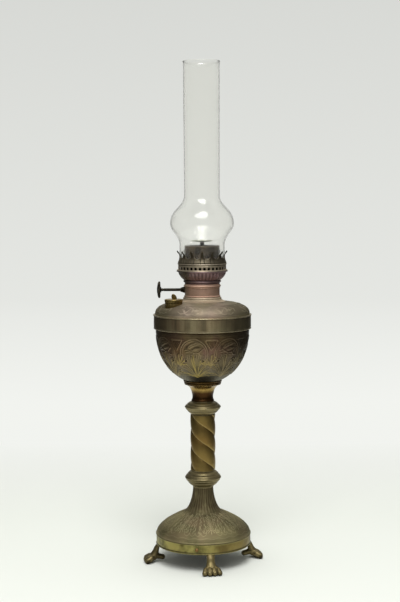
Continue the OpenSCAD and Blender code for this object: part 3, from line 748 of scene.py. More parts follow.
def lamp_base_dome(bay=76, step=1.25):
    """Spun dome: its line turned round the axis and raised by the ornament, over a plain inner wall."""
    line = finer(dome_line(), step)
    run = length_along(line)[:, None]
    count = 8
    across = (np.arange(bay) / bay - 0.5)[None, :] * TURN / count
    height = np.tile(dome_relief(across, line[:, :1], run), (1, count))
    angle = -0.75 * TURN / count + np.arange(bay * count)[None, :] * TURN / (bay * count)
    out = normals_of(line)
    depth = 0.45 * sizes().relief * height
    outer = turned(line[:, :1] + out[:, :1] * depth, angle, line[:, 1:] + out[:, 1:] * depth)
    bell = smooth_step(0, 4, run) * (1 - smooth_step(48, 60, run))
    # Painted shade: the ground of the bell between the ornament is darkened.
    hollow = 0.30 * bell * (1 - smooth_step(0.1, 0.5, height))
    inner = (line - out * sizes().sheet)[::-1]
    lining = np.vstack([inner[::9], inner[-1:]])
    points = np.vstack([outer, turned(lining[:, :1], angle, lining[:, 1:])])
    blank = np.zeros((len(lining), angle.size))
    masks = {"wear": np.clip(height, 0, 1), "grime": hollow}
    masks = {key: np.vstack([value, blank]) for key, value in masks.items()}
    return points, woven(points), masks


def rim_of_dome():
    """Rolled rim that the dome stands on, with its flat flange inside the band."""
    reach, low = radius("base_dome"), level("base_band", True)
    return profile(
        (reach - 6, low + 1.3), (reach - 6, low), bead(reach, low, 2.2), (reach - 1.2, low + 3), (reach - 2.4, low + 3)
    )


def base_wave(angle, z):
    """Slight unevenness of a hand-finished band: a few slow sines of the angle that change with height."""
    return 0.10 * np.sin(5 * angle + 0.4) + 0.07 * np.sin(13 * angle + z * 0.25) + 0.05 * np.sin(29 * angle - z * 0.4)


def base_band_profile():
    reach, low, high = radius("base_band") - 0.8, level("base_band"), level("base_band", True)
    return profile(
        (reach - 1.5, high), (reach - 1.5, low), bead(reach + 0.8, low, 2), (reach, low + 2.4),
        bezier((reach, low + 2.4), (reach + 0.25, low + 5), (reach + 0.25, high - 4), (reach, high), 10),
    )


TOE_PITCH = 7.1


LEG_AND_HEEL = (
    # Centre outwards and up, radius along and across: down the leg, over the instep, then back to the heel
    ((65.4, 31.0), 2.2, 6.4),
    ((66.2, 25.5), 2.7, 6.2),
    ((68.8, 20.0), 3.8, 5.7),
    ((70.2, 15.0), 4.6, 6.0),
    ((72.5, 10.0), 5.6, 7.8),
    ((68.0, 9.0), 4.6, 5.8),
    ((63.5, 7.6), 3.8, 5.0),
    ((60.2, 6.9), 3.9, 5.2),
)


def ball(centre, half, rows=14, columns=20):
    """Ellipsoid: half the axes times the unit sphere's point at a latitude and a longitude."""
    lat = np.linspace(-np.pi / 2, np.pi / 2, rows)[:, None]
    lon = np.arange(columns)[None, :] * TURN / columns
    unit = np.stack([np.cos(lat) * np.cos(lon), np.cos(lat) * np.sin(lon), np.sin(lat) + 0 * lon], -1)
    points = unit * np.asarray(half, float) + np.asarray(centre, float)
    return points, woven(points, closed=False), {}


def limb(first, last, steps=5):
    """Balls that change evenly from the first to the last, each given as (centre, half axes)."""
    first, last = np.array(first, float), np.array(last, float)
    return [ball(*(first + share * (last - first))) for share in np.linspace(0, 1, steps)]


def paw_balls():
    """Balls of one paw foot that points along +X: the leg, the broad instep, the heel and four stout toes."""
    chain = [((x, 0, z), (thick, wide, thick)) for (x, z), thick, wide in LEG_AND_HEEL]
    parts = [patch for first, last in zip(chain[:-1], chain[1:]) for patch in limb(first, last)]
    parts += limb(((73, 0, 7.5), (5, 8.4, 4.8)), ((81.0, 0, 5.0), (4.4, 12.4, 4.4)), 5)
    tip = np.linalg.norm(extent("paw_foot_right")[:2]) + radius("paw_foot_right")
    for side in (-1.5, -0.5, 0.5, 1.5):
        y, back = side * TOE_PITCH, 1.1 * abs(side)
        root = ((72.5, 0.25 * y, 10.4), (3.6, 2.6, 3.0))
        knuckle = ((79.5 - back, 0.85 * y, 7.4 - 0.4 * abs(side)), (4.3, 3.4, 4.0))
        end = ((tip - 4.0 - back, y, 3.9), (3.6, 3.7, 4.0))
        parts += limb(root, knuckle, 5) + limb(knuckle, end, 5)
    return parts


def fused(patches, name):
    """One mesh of overlapping balls, fused by a voxel remesh and smoothed."""
    points = np.concatenate([patch[0].reshape(-1, 3) for patch in patches])
    start = np.cumsum([0] + [patch[0].shape[0] * patch[0].shape[1] for patch in patches[:-1]])
    faces = np.concatenate([patch[1] + s for patch, s in zip(patches, start)])
    mesh = bpy.data.meshes.new(name)
    mesh.from_pydata(points * MM, [], faces.tolist())
    form = bpy.data.objects.new(name, mesh)
    bpy.context.scene.collection.objects.link(form)
    fuse = form.modifiers.new("fuse", "REMESH")
    fuse.mode = "VOXEL"
    fuse.voxel_size = 0.00045
    soften = form.modifiers.new("soften", "SMOOTH")
    soften.factor = 0.5
    soften.iterations = 3
    result = bpy.data.meshes.new_from_object(form.evaluated_get(bpy.context.evaluated_depsgraph_get()))
    bpy.data.objects.remove(form)
    return result


def lamp_paws():
    """Four cast feet: one fused paw, cut flat at the floor, turned to each foot's place."""
    paw = fused(paw_balls(), "paw_form")
    co = np.zeros(len(paw.vertices) * 3, np.float32)
    paw.vertices.foreach_get("co", co)
    co = co.reshape(-1, 3).astype(float)
    normal = np.zeros(co.size, np.float32)
    paw.vertices.foreach_get("normal", normal)
    up = normal.reshape(-1, 3)[:, 2]
    x, y, z = (co / MM).T
    # The upper faces and the knuckle are painted paler, partly rubbed and partly as highlight; the grooves between the
    # toes, the faces turned down and the part near the floor are painted darker as shade.
    between = np.abs((y / TOE_PITCH + 0.5) % 1 - 0.5) * TOE_PITCH
    groove = bump_line(between, 1.5) * smooth_step(74, 78, x) * (z < 10.5)
    knuckle = np.exp(-(((x - 74) / 3.2) ** 2) - (y / 3.5) ** 2) * (z > 8)
    wear = np.clip(0.25 + 0.35 * up + 0.6 * knuckle - groove, 0, 1) * (1 - 0.85 * smooth_step(9, 15, z))
    grime = np.clip(0.8 * groove + 0.6 * smooth_step(5, 0, z) + 0.5 * smooth_step(0.1, -0.6, up), 0, 1)
    co[:, 2] = np.maximum(co[:, 2], 0)
    for side in ("front", "right", "back", "left"):
        node = "paw_foot_" + side
        middle = extent(node)
        heading = math.atan2(middle[1], middle[0])
        cos, sin = math.cos(heading), math.sin(heading)
        turn = np.array([[cos, -sin, 0], [sin, cos, 0], [0, 0, 1]])
        copy = paw.copy()
        copy.name = "cast_paw_" + side
        copy.vertices.foreach_set("co", (co @ turn.T).astype(np.float32).ravel())
        for key, value in (("wear", wear), ("grime", grime)):
            layer = copy.attributes.new(key, "FLOAT", "POINT")
            layer.data.foreach_set("value", value.astype(np.float32))
        piece = bpy.data.objects.new("cast_paw_" + side, copy)
        bpy.context.scene.collection.objects.link(piece)
        settle(piece, "stand", finishes()["paw"], (node,), sharp=0)


def knop_profile(node, edge, low_face, high_face):
    """Stepped profile of a knop: coves and fillets widen from each face to the sharp edge between them."""
    low, high = level(node), level(node, True)
    spigot = 6.0
    low, high = (low, high - spigot) if node == "lower_knop" else (low + spigot, high)
    reach = radius(node)

    def steps(face, h):
        grow = reach - face
        return profile(
            (face, 0), (face, 0.10 * h), (face + 0.04 * grow, 0.13 * h),
            bezier((face + 0.10 * grow, 0.16 * h), (face + 0.2 * grow, 0.2 * h), (face + 0.42 * grow, 0.3 * h), (face + 0.5 * grow, 0.45 * h), 10),
            (face + 0.56 * grow, 0.46 * h), (face + 0.57 * grow, 0.56 * h),
            bezier((face + 0.6 * grow, 0.57 * h), (face + 0.7 * grow, 0.6 * h), (face + 0.78 * grow, 0.68 * h), (face + 0.82 * grow, 0.76 * h), 8),
            (face + 0.86 * grow, 0.77 * h), (face + 0.88 * grow, 0.85 * h), (reach - 0.15, h - 0.5),
        )

    lower = steps(low_face, edge) + [0, low]
    upper = steps(high_face, high - low - edge)[::-1] * [1, -1] + [0, high]
    hole = 3.3
    return profile((hole, low), lower, (reach, low + edge), upper, (hole, high))


def lamp_column():
    """Column of three lobes wound to the left: the radius falls to sharp grooves as the root of a sine of the
    angle, which turns with height by one turn in each lead."""
    low, high = level("twisted_column"), level("twisted_column", True)
    reach, groove, lead, first = radius("twisted_column"), 1.9, 75.0, math.radians(-12)
    z = np.linspace(low, high, 150)[:, None]
    angle = around(260)[None, :]
    local = angle - math.pi / 2 - first + TURN * (z - low) / lead
    wave = np.abs(np.sin(1.5 * local))
    r = reach - groove + groove * wave**0.42
    side = np.cos(1.5 * local) * np.sign(np.sin(1.5 * local))
    outer = turned(r, angle, z)
    cap_low, cap_high = turned(12.2, angle, z[:1]), turned(12.2, angle, z[-1:])
    points = np.vstack([cap_low, outer, cap_high])
    # One side of each groove carries a painted highlight along its ridge, the other painted shade.
    ridge = np.exp(-((wave / 0.20) ** 2)) * (side > 0)
    masks = {"wear": np.clip(0.12 * wave + 0.95 * ridge, 0, 1), "grime": np.exp(-((wave / 0.13) ** 2)) * (side < 0) + 0 * z}
    blank = np.zeros((1, points.shape[1]))
    masks = {key: np.vstack([blank, np.broadcast_to(value, r.shape), blank]) for key, value in masks.items()}
    return points, woven(points), masks


def socket_profile():
    """Flared socket: a short foot, a waist, a bell and a lip under the ring."""
    low, high, reach = level("font_socket"), level("font_socket", True), radius("font_socket")
    return profile(
        (3.3, low), (16.3, low), bezier((16.2, low + 1.5), (14.2, low + 3.5), (14.9, low + 8.5), (16.2, low + 13), 20),
        bezier((16.5, low + 14.2), (18, low + 19), (20, low + 22), (reach, low + 24.2), 20), (reach, high),
        (14.05, high), (14.05, low + 13), (10, low + 13), (10, low + 6), (3.3, low + 6),
    )


def ring_profile():
    """Dark stepped ring between the socket and the font."""
    low, high, reach = level("socket_ring"), level("socket_ring", True), radius("socket_ring")
    return profile(
        (14.1, low), (reach - 1.5, low), bead(reach - 1.0, low + 0.3, 2.2), (reach - 0.6, low + 2.8),
        bead(reach, low + 3.2, 2.3), (reach - 0.5, high), (24.1, high), (24.1, high - 1.5), (14.1, high - 1.5),
    )


# Font


def bowl_line():
    """Outer line of the bowl from its foot up to the joint inside the band: a full egg shape, whose radius and
    depth are the cosine and the sine of an angle raised to a power a little below one."""
    reach, rim, foot = radius("font_bowl") - 0.9, level("font_band"), level("font_bowl")
    half, power = 80.0, 2 / 2.12
    low = math.asin(((rim - foot) / half) ** (1 / power))
    a = np.linspace(low, 0, 124)
    egg = np.stack([reach * np.cos(a) ** power, rim - half * np.sin(a) ** power], -1)
    return np.vstack([egg, [reach, level("font_bowl", True)]])


def strokes(u, v, lines, width):
    """Height of several raised lines of one width."""
    height = np.zeros(u.shape)
    for points in lines:
        height = np.maximum(height, bump_line(from_line(u, v, points)[0], width))
    return height


def spot(u, v, centre, half):
    """1 at a centre, falling to 0 at the edge of an ellipse with the given half axes."""
    return bump_line(np.hypot((u - centre[0]) / half[0], (v - centre[1]) / half[1]), 1.0)


def fan_lines(base, blades, long, spread, droop):
    """Lines of a palmette that rises from its base: blade k leans by its share of the spread, is shorter by the
    power droop of that share, bends outwards a little, and sines of k make it uneven, as hand work is."""
    lines = []
    for k, share in enumerate(np.linspace(-1, 1, blades)):
        lean = math.radians(spread) * share + 0.06 * math.sin(2.4 * k)
        reach = long * (1 - droop * abs(share) ** 1.3) * (0.92 + 0.10 * math.sin(1.9 * k + 1))
        parts = [(0.2 * reach, 0.70 * lean), (0.6 * reach, 0.90 * lean), (reach, 1.12 * lean)]
        lines.append([base] + [(base[0] + r * math.sin(a), base[1] - r * math.cos(a)) for r, a in parts])
    return lines


def arch_relief(u, v):
    """One arch of the bowl: a double horseshoe line ending in scrolls with dark eyes, round a leaf, a wavy branch
    and a row of short strokes. Returns height and hollows, with patches of painted shade among the hollows."""
    centre, outer, inner = 28.6, 20.0, 17.3
    ring = np.hypot(u, v - centre)
    bearing = np.degrees(np.arctan2(np.abs(u), centre - v))
    shown = 1 - smooth_step(126, 132, bearing)
    rings = np.maximum(bump_line(np.abs(ring - outer), 0.95), 0.75 * bump_line(np.abs(ring - inner), 0.8)) * shown
    eye = np.hypot(np.abs(u) - 12.6, v - 41.0)
    curls = bump_line(np.abs(eye - 2.9), 0.85)
    branch = [(-11, 27.5), (-5, 26.4), (1, 28.8), (7, 28.6), (11, 24.8), (14.3, 21.8)]
    twigs = [[(-5, 26.4), (-9, 23.5), (-13, 24.5)], [(7, 28.6), (10, 32), (14, 32.5)], [(1, 28.8), (-3, 31.5)]]
    comb = [[(-9 + 2.5 * k, 31.0), (-9.6 + 2.7 * k, 37.0)] for k in range(8)]
    large, rib = leaf(u, v, [(-9.5, 22.5), (-3, 17.5), (5, 15), (13, 16)], 3.0)
    small, small_rib = leaf(u, v, [(-3, 25), (4, 22.5), (12, 21.5)], 2.0)
    figure = np.maximum(0.75 * large - 0.5 * rib, 0.7 * small - 0.5 * small_rib)
    figure = np.maximum(figure, 0.85 * strokes(u, v, [branch] + twigs + comb, 0.9))
    # Dark patches in and below the arch are painted shade.
    dark = np.maximum(0.8 * spot(u, v, (-9, 19.5), (5, 4)), 0.9 * spot(u, v, (-2, 34.3), (12, 5)))
    dark = np.maximum(dark, 0.6 * spot(u, v, (3, 19.4), (9, 1.8))) * (1 - smooth_step(0.1, 0.5, figure))
    height = np.maximum(np.maximum(rings, curls), figure * (ring < inner))
    return height, np.maximum(1 - smooth_step(1.3, 2.3, eye), dark)


def spandrel_relief(u, v):
    """Triangle with a flat top between two arches, its upper edge the boldest, round a dark field."""
    top, foot, half = 10.2, 25.0, 8.9
    edge = bump_line(np.hypot(np.maximum(np.abs(u) - half, 0), v - top), 1.2)
    sides = 0.65 * strokes(np.abs(u), v, [[(half, top), (0.2, foot)]], 0.85)
    inner = strokes(np.abs(u), v, [[(0, top + 3), (half - 4.2, top + 3), (0.1, foot - 5)]], 0.6)
    field = (v > top) & (np.abs(u) < half * (foot - v) / (foot - top))
    height = np.maximum(np.maximum(edge, sides), 0.35 * inner * field)
    height = np.maximum(height, 0.7 * spot(u, v, (0.6, foot - 3.2), (1.5, 3)))
    return height, 0.5 * field * (height < 0.2)


def bowl_relief(angle, reach, run):
    """Height, hollows and gilding of one bay of the bowl's ornament, centred on an arch. Run is the distance down
    from the band. A triangle stands between the arches' tops, a gilt palmette of thin blades rises under each
    arch and a small one under each triangle, and crossed lines cover the ground near the foot."""
    half_bay = math.pi / sizes().arches
    at_arch = angle * reach
    at_gap = (np.abs(angle) - half_bay) * reach * np.sign(angle + 1e-9)
    v = np.broadcast_to(run, at_arch.shape)
    height, hollow = arch_relief(at_arch, v)
    triangle, dark = spandrel_relief(at_gap, v)
    height, hollow = np.maximum(height, triangle), np.maximum(hollow, dark)
    fan = strokes(at_arch, v, fan_lines((1, 73.0), 15, 40.0, 76, 0.36), 1.0)
    scroll = strokes(at_arch, v, [[(4, 52), (9, 45), (14, 42.5), (17, 45), (15.5, 48.5), (12.5, 48)]], 1.2)
    spike = strokes(at_gap, v, fan_lines((0, 50.0), 7, 19.0, 62, 0.35), 1.3)
    lines = np.maximum(np.maximum(fan, scroll), spike)
    glow = np.maximum(0.34 * spot(at_arch, v, (3, 52), (26, 20)), 0.34 * spot(at_gap, v, (0, 43), (13, 12)))
    gilt = np.maximum(lines, glow)
    lattice = np.maximum(np.cos((at_arch + v) * 1.15), np.cos((at_arch - v) * 1.15))
    lattice = 0.3 * np.clip(lattice - 0.55, 0, 1) / 0.45 * smooth_step(46, 54, v) * (lines < 0.05)
    sprays = [[(0, 47), (3.5, 53), (9, 56), (14, 53)], [(0, 47), (-3.5, 53), (-9, 56), (-14, 53)], [(0, 47), (0, 62)]]
    twigs = 0.6 * strokes(at_gap, v, sprays, 0.9)
    rims = np.maximum(bump_line(np.abs(v - 3.2), 0.9), 0.6 * bump_line(np.abs(v - 5.4), 0.7))
    height = np.maximum.reduce([height, 1.1 * lines, lattice, twigs, 0.5 * rims])
    shadow = 0.8 * (1 - smooth_step(0.05, 0.5, lines)) * spot(at_arch, v, (0, 58), (19, 17))
    hollow = np.maximum(hollow * (lines < 0.1), shadow)
    return height, hollow, gilt * (1 - 0.8 * np.clip(hollow - 0.2, 0, 1))


def lamp_bowl(bay=84, step=0.95):
    """Embossed bowl: its line turned round the axis and raised by the ornament, one bay after another, and closed
    below by its flat foot. The gilding is strongest in front and thin towards the back, and a dark patch of painted
    shade spreads over the front of the foot."""
    line = finer(bowl_line(), step)
    rim = level("font_band")
    line = np.vstack([line[line[:, 1] <= rim], bowl_line()[-1:]])
    out = normals_of(line)
    run = np.maximum(np.interp(rim, line[:, 1], length_along(line)) - length_along(line), 0)[:, None]
    count = sizes().arches
    across = (np.arange(bay) / bay - 0.5)[None, :] * TURN / count
    masks = bowl_relief(across, line[:, :1], run)
    height, hollow, gilt = (np.tile(mask, (1, count)) for mask in masks)
    first = -0.75 * TURN / count
    angle = first + np.arange(bay * count)[None, :] * TURN / (bay * count)
    covered = smooth_step(0.3, 1.5, run)
    depth = sizes().relief * (height - 0.35 * hollow) * covered - 0.02 * (1 - covered)
    outer = turned(line[:, :1] + out[:, :1] * depth, angle, line[:, 1:] + out[:, 1:] * depth)
    front = (angle + math.pi) % TURN - math.pi
    gilt = gilt * (0.15 + 0.85 * np.exp(-(((front + 0.25) / 0.55) ** 2)))
    # Painted shade over the front of the foot.
    shaded_blotch = smooth_step(62, 75, run) * np.exp(-((front / 0.52) ** 4)) * (1 - 0.6 * smooth_step(0.3, 0.9, height))
    hollow = np.maximum(hollow, shaded_blotch)
    inner = (line - out * sizes().sheet)[::-1][::12]
    foot = level("font_bowl")
    inner = inner[inner[:, 1] > foot + sizes().sheet]
    wall = turned(inner[:, :1], angle, inner[:, 1:])
    floor = turned(np.array([[0.0]]), angle, np.array([[foot + sizes().sheet]]))
    underside = turned(np.array([[0.0]]), angle, np.array([[foot]]))
    points = np.vstack([underside, outer, wall, floor])
    masks = {"wear": np.clip(height, 0, 1) * (1 - gilt), "grime": np.maximum(hollow, 1.4 * shaded_blotch), "gilt": gilt}
    above, below = np.zeros((len(wall) + 1, angle.size)), np.zeros((1, angle.size))
    masks = {key: np.vstack([below, value, above]) for key, value in masks.items()}
    return points, woven(points), masks


def band_wave(angle, z):
    """Slight unevenness of the font's band, which breaks its reflections into upright streaks."""
    return 0.05 * np.sin(7 * angle) + 0.035 * np.sin(19 * angle + 1.0) + 0.02 * np.sin(43 * angle + z * 0.2)


def font_band_profile():
    low, high = level("font_band"), level("font_band", True)
    reach = radius("font_band") - 0.6
    return profile(
        (reach - 2.08, high), (reach - 2.08, low), bead(reach, low, 1.4), (reach - 0.35, low + 1.9),
        bezier((reach - 0.3, low + 2.2), (reach - 0.15, low + 7), (reach - 0.15, high - 8), (reach - 0.3, high - 2.6), 12),
        bead(reach + 0.6, high - 1.9, 1.9),
    )


def shoulder_line():
    """Outer line of the shoulder from the joint inside the band up to the collar."""
    low, band_top, top = level("font_shoulder"), level("font_band", True), level("font_shoulder", True)
    reach = radius("font_shoulder")
    dome = bezier((reach, band_top + 1), (reach, band_top + 11), (55.5, top - 2), (34.6, top), 54)
    return np.vstack([[[reach, low]], dome, [[25.3, top]]])


def shoulder_relief(angle, reach, run):
    """Shallow scrolls on the shoulder: in each of its eight bays an S-shaped stem with two leaves, a rosette and
    small buds on a stippled ground, between two plain lines. Run is the distance from the band."""
    u = angle * reach
    v = np.broadcast_to(run, u.shape)
    stems = [
        [(-17, 9), (-12, 5.5), (-6, 6.5), (-1.5, 12), (3, 18.5), (9, 20.5), (14, 17), (13.5, 12.5), (9.5, 12)],
        [(-17, 20), (-13, 23), (-8, 21.5), (-7, 17.5), (-10, 16)],
        [(5, 5), (10, 4.5), (14, 7)],
    ]
    height = strokes(u, v, stems, 0.8)
    shapes = [
        ([(-6, 6.5), (-8, 12), (-13.5, 16)], 1.6),
        ([(-6, 6.5), (-2, 4.5), (4.5, 5.2)], 1.3),
        ([(3, 18.5), (-2, 21.5), (-8.5, 24)], 1.3),
        ([(3, 18.5), (5.5, 13), (3.5, 8)], 1.5),
        ([(14, 17), (18, 14), (18.5, 8)], 1.3),
    ]
    for path, width in shapes:
        body, rib = leaf(u, v, path, width)
        height = np.maximum(height, body * 0.7 - 0.4 * rib)
    rosette = np.hypot(u - 9.5, v - 12.5)
    petals = np.clip(np.cos(5 * np.arctan2(u - 9.5, v - 12.5)), -0.6, 1)
    height = np.maximum(height, smooth_step(3.0, 1.8, rosette - 0.5 * petals) * (0.6 + 0.2 * petals))
    stipple = 0.25 * np.clip(np.cos(u * 2.4) * np.cos(v * 2.4), 0, 1)
    zone = smooth_step(2.0, 3.5, v) * (1 - smooth_step(25.5, 27, v))
    edge = 0.5 * bump_line(np.abs(v - 27.5), 0.8)
    hollow = 0.65 * zone * (1 - smooth_step(0.05, 0.45, height))
    return np.maximum(np.maximum(height, stipple) * zone, edge), hollow


def lamp_shoulder(bay=76, step=1.2):
    """Embossed shoulder: a single sheet, with the hole for the filler cut out of it. Across its front the painted
    highlight on its raised lines and the painted shade in its hollows are faint, as the light falls straight on it
    there.
    """
    line = finer(shoulder_line(), step)
    out = normals_of(line)
    run = length_along(line)[:, None] - np.interp(level("font_band", True), line[:, 1], length_along(line))
    count = 8
    across = (np.arange(bay) / bay - 0.5)[None, :] * TURN / count
    height, hollow = (np.tile(mask, (1, count)) for mask in shoulder_relief(across, line[:, :1], run))
    angle = 0.1 + np.arange(bay * count)[None, :] * TURN / (bay * count)
    front = np.exp(-((((angle + math.pi) % TURN - math.pi - 0.1) / 0.42) ** 2))
    depth = 0.5 * sizes().relief * height
    points = turned(line[:, :1] + out[:, :1] * depth, angle, line[:, 1:] + out[:, 1:] * depth)
    filler = extent("filler_neck")
    offset = points[..., :2] - np.array(filler[:2])
    gap = np.linalg.norm(offset, axis=-1)
    near = np.abs(gap - filler[2]) < 0.6
    snapped = np.array(filler[:2]) + offset * (filler[2] / np.maximum(gap, 1e-6))[..., None]
    points[..., :2] = np.where(near[..., None], snapped, points[..., :2])
    faces = woven(points, closed=False)
    middle = points.reshape(-1, 3)[faces].mean(1)[:, :2]
    faces = faces[np.linalg.norm(middle - np.array(filler[:2]), axis=1) > filler[2]]
    # Painted highlight on the raised lines and painted shade in the hollows fade across the front.
    wear = np.clip(height, 0, 1) * (1 - 0.55 * front)
    return points, faces, {"wear": wear, "grime": hollow * (1 - 0.85 * front), "gilt": 0 * height}


def lamp_cap(teeth=36):
    """Screw cap: a lathed profile whose side is milled, the radius of its upright rows following the teeth."""
    x, y, reach, low, high = extent("filler_cap")
    line = finer(profile(
        (10.6, low), (reach - 0.9, low), (reach - 0.45, low + 3.9), (reach - 0.1, low + 4.6), (reach, low + 5.4),
        (reach, high - 0.9), bezier((reach, high - 0.9), (reach, high - 0.2), (reach - 0.3, high), (reach - 1, high), 6),
        (reach - 2.2, high), (reach - 2.6, high - 0.25), (0, high - 0.25), (0, low + 6.1), (10.6, low + 6.1),
    ), 0.5)
    wear, grime = edges_of(line, 0.6)
    angle = around(teeth * 8)[None, :]
    r, z = line[:, :1], line[:, 1:]
    milled = smooth_step(reach - 2, reach - 1, r) * smooth_step(low + 0.4, low + 1.0, z) * (1 - smooth_step(low + 3.9, low + 4.5, z))
    tooth = 0.5 + 0.5 * np.cos(teeth * angle)
    points = turned(r - 0.45 * milled * (1 - tooth), angle, z) + np.array([x, y, 0])
    # The cap's top edge is painted pale as a highlight; the milled teeth are paler on their crests and darker between
    # them.
    top = smooth_step(high - 0.5, high - 0.2, z) + 0 * angle
    masks = {
        "wear": np.clip(wear[:, None] + top + 0.3 * milled * tooth, 0, 1),
        "grime": np.clip(grime[:, None] * 0.6 + 0.9 * milled * (1 - tooth), 0, 1),
    }
    return points, woven(points), masks


def lamp_thumb_piece():
    """Thumb piece: a flattened leaf that leans to the left, its section an ellipse that narrows to the tip."""
    x, y, _, low, high = extent("cap_finial")
    t = np.linspace(0, 1, 26)[:, None]
    bearing = np.arange(28)[None, :] * TURN / 28
    inside = (t > 0) & (t < 1)
    half_wide = 4.0 * np.sqrt(np.clip(1 - (2 * t - 0.85) ** 2 * 0.78, 0, 1)) * (1 - 0.2 * t)
    half_thin = 1.4 * (1 - 0.35 * t) * np.sqrt(np.clip(1 - (2 * t - 1) ** 8, 0, 1))
    across = half_wide * np.cos(bearing) * inside - 1.9 * t**1.2
    through = half_thin * np.sin(bearing) * inside
    points = np.stack([x + 0.8 + across, y + through, low - 0.3 + (high - low + 0.3) * t + 0 * bearing], -1)
    tip = t + 0 * bearing
    # The tip is paler with rubbing, and the root, against the cap, is darkened as painted shade.
    return points, woven(points, closed=False), {"wear": 0.35 * tip, "grime": 0.6 * (1 - smooth_step(0, 0.25, tip))}


def collar_profile():
    """Flared collar: a flange on the shoulder, a hollow curve and a rim, with its sleeve below."""
    low, high = level("font_collar"), level("font_collar", True)
    flange, sleeve, bore = radius("font_collar"), 25.2, 23.45
    base = level("font_shoulder", True)
    return profile(
        (bore, low), (sleeve, low), (sleeve, base), (flange, base), arc((flange - 0.4, base + 0.4), 0.4, -60, 90, 6),
        bezier((flange - 0.8, base + 0.9), (30.2, base + 1.5), (28.1, base + 2.6), (27.3, base + 4.6), 18),
        (27.5, base + 4.8), (27.5, base + 5.6), (26.9, base + 6.0), (26.4, high), (bore, high),
    )


# Burner


def neck_profile():
    """Neck of the burner: the screw below, fine turned steps outside and two ribs under the air bowl."""
    low, high = level("burner_neck"), level("burner_neck", True)
    base, bore, screw = low + 15, 22.2, 23.4
    wall = radius("burner_neck") - 1.9
    ribs = [np.array([[wall + 0.25, base + 2.1 + 1.35 * k], [wall + 0.25, base + 2.9 + 1.35 * k], [wall, base + 3.1 + 1.35 * k]]) for k in range(7)]
    return profile(
        (bore, low), (screw, low), (screw, base), (wall + 1.2, base), (wall + 1.2, base + 1), (wall, base + 1.9),
        *ribs, (wall, base + 12.2), bead(wall + 1.1, base + 12.3, 1.3), bead(wall + 1.9, base + 14, 2.6),
        (wall - 0.4, high), (bore, high),
    )


def along_shaft(line, columns=64, step=0.4, spread=0.6, wave=None):
    """A profile of [radius, distance] rows turned round the wick shaft, the distance counted to the left from the
    lamp's axis."""
    z = (level("wick_shaft") + level("wick_shaft", True)) / 2
    to_shaft = [[0, 0, -1], [0, 1, 0], [1, 0, 0]]
    return moved(lathe(line, columns, step, spread, wave), to_shaft, (0, 0, z))


def gland_profile():
    """Gland: the bush through the neck and the cone outside it."""
    wall, tip = radius("burner_neck") - 1.9, -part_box("shaft_gland")[0].x / MM
    bore = 2.15
    return profile(
        (bore, 22.5), (3.1, 22.5), (3.1, wall - 0.6), (4.8, wall + 0.05), (4.8, wall + 1.0), (4.5, wall + 1.2),
        bezier((4.5, wall + 1.2), (4.2, wall + 2.8), (3.5, wall + 4.0), (3.1, tip + 0.6), 8), (2.9, tip + 1.2),
        (bore, tip + 1.2),
    )


def shaft_profile():
    """Wick shaft, with a shallow groove where it was turned down."""
    low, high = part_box("wick_shaft")
    reach = (high.z - low.z) / 2 / MM
    start, end = -high.x / MM, -low.x / MM
    return profile(
        (0, start), (reach, start), (reach, end - 12), (reach + 0.0, end - 6), (reach - 0.3, end - 5.6),
        (reach - 0.3, end - 4.6), (reach, end - 4.2), (reach, end), (0, end),
    )


def wheel_wave(angle, distance):
    """Milled edge of the thumbwheel: shallow teeth on its rim."""
    return 0.16 * np.cos(60 * angle)


def wheel_profile():
    """Thumbwheel: a lens on a hub, with a raised ring on each face."""
    low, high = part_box("thumbwheel")
    start, end = -high.x / MM, -low.x / MM
    reach = (high.z - low.z) / 2 / MM - 0.16
    base = end - 4.2
    return profile(
        (2.1, start), (3.6, start), (3.8, base - 1.0), (6.4, base - 0.8), (9.0, base - 0.7),
        arc((reach - 1.6, base + 0.9), 1.6, -80, 80, 12), (9.6, base + 2.9), (9.1, base + 3.2), (8.4, base + 3.1),
        (6.2, base + 3.6), (3.2, end - 0.1), (2.6, end), (0, end), (0, base - 0.2), (2.1, base - 0.2),
    )


def lamp_air_bowl():
    """Fluted bowl: its line turned round the axis, the radius pressed in by a cosine of the angle on the part
    between the beads."""
    low, high, rim = level("air_bowl"), level("air_bowl", True), radius("air_bowl")
    count = sizes().flutes
    line = finer(profile(
        (18.65, low), (25.2, low), (25.4, low + 2), bead(27.1, low + 2, 2.6), (25.6, low + 4.7),
        bezier((25.8, low + 4.9), (29.3, low + 7.2), (33.5, low + 11.6), (34.4, low + 16.8), 30),
        (34.6, low + 17.1), bead(rim, low + 17.2, 1.3), (rim - 0.6, high), (33.4, high),
        bezier((33.0, low + 16.8), (32.0, low + 11.6), (28.4, low + 8.2), (24.8, low + 6.2), 20), (24.6, low + 1.2), (18.65, low + 1.2),
    ), 0.55)
    wear, grime = edges_of(line, 0.6)
    angle = around(count * 12)[None, :]
    r, z = line[:, :1], line[:, 1:]
    outside = np.zeros(len(line))
    outside[: np.argmax(line[:, 0])] = 1
    zone = outside[:, None] * smooth_step(low + 5.0, low + 7.2, z) * (1 - smooth_step(low + 15.0, low + 16.8, z))
    flute = np.abs(np.sin(count * angle / 2)) ** 0.8
    points = turned(r - 1.15 * zone * (1 - flute), angle, z)
    # The flutes' crests are made paler and their troughs darker.
    masks = {
        "wear": np.clip(wear[:, None] + 0.35 * zone * flute**4, 0, 1),
        "grime": np.clip(grime[:, None] + 0.85 * zone * (1 - flute) ** 1.5, 0, 1),
    }
    return points, woven(points), masks


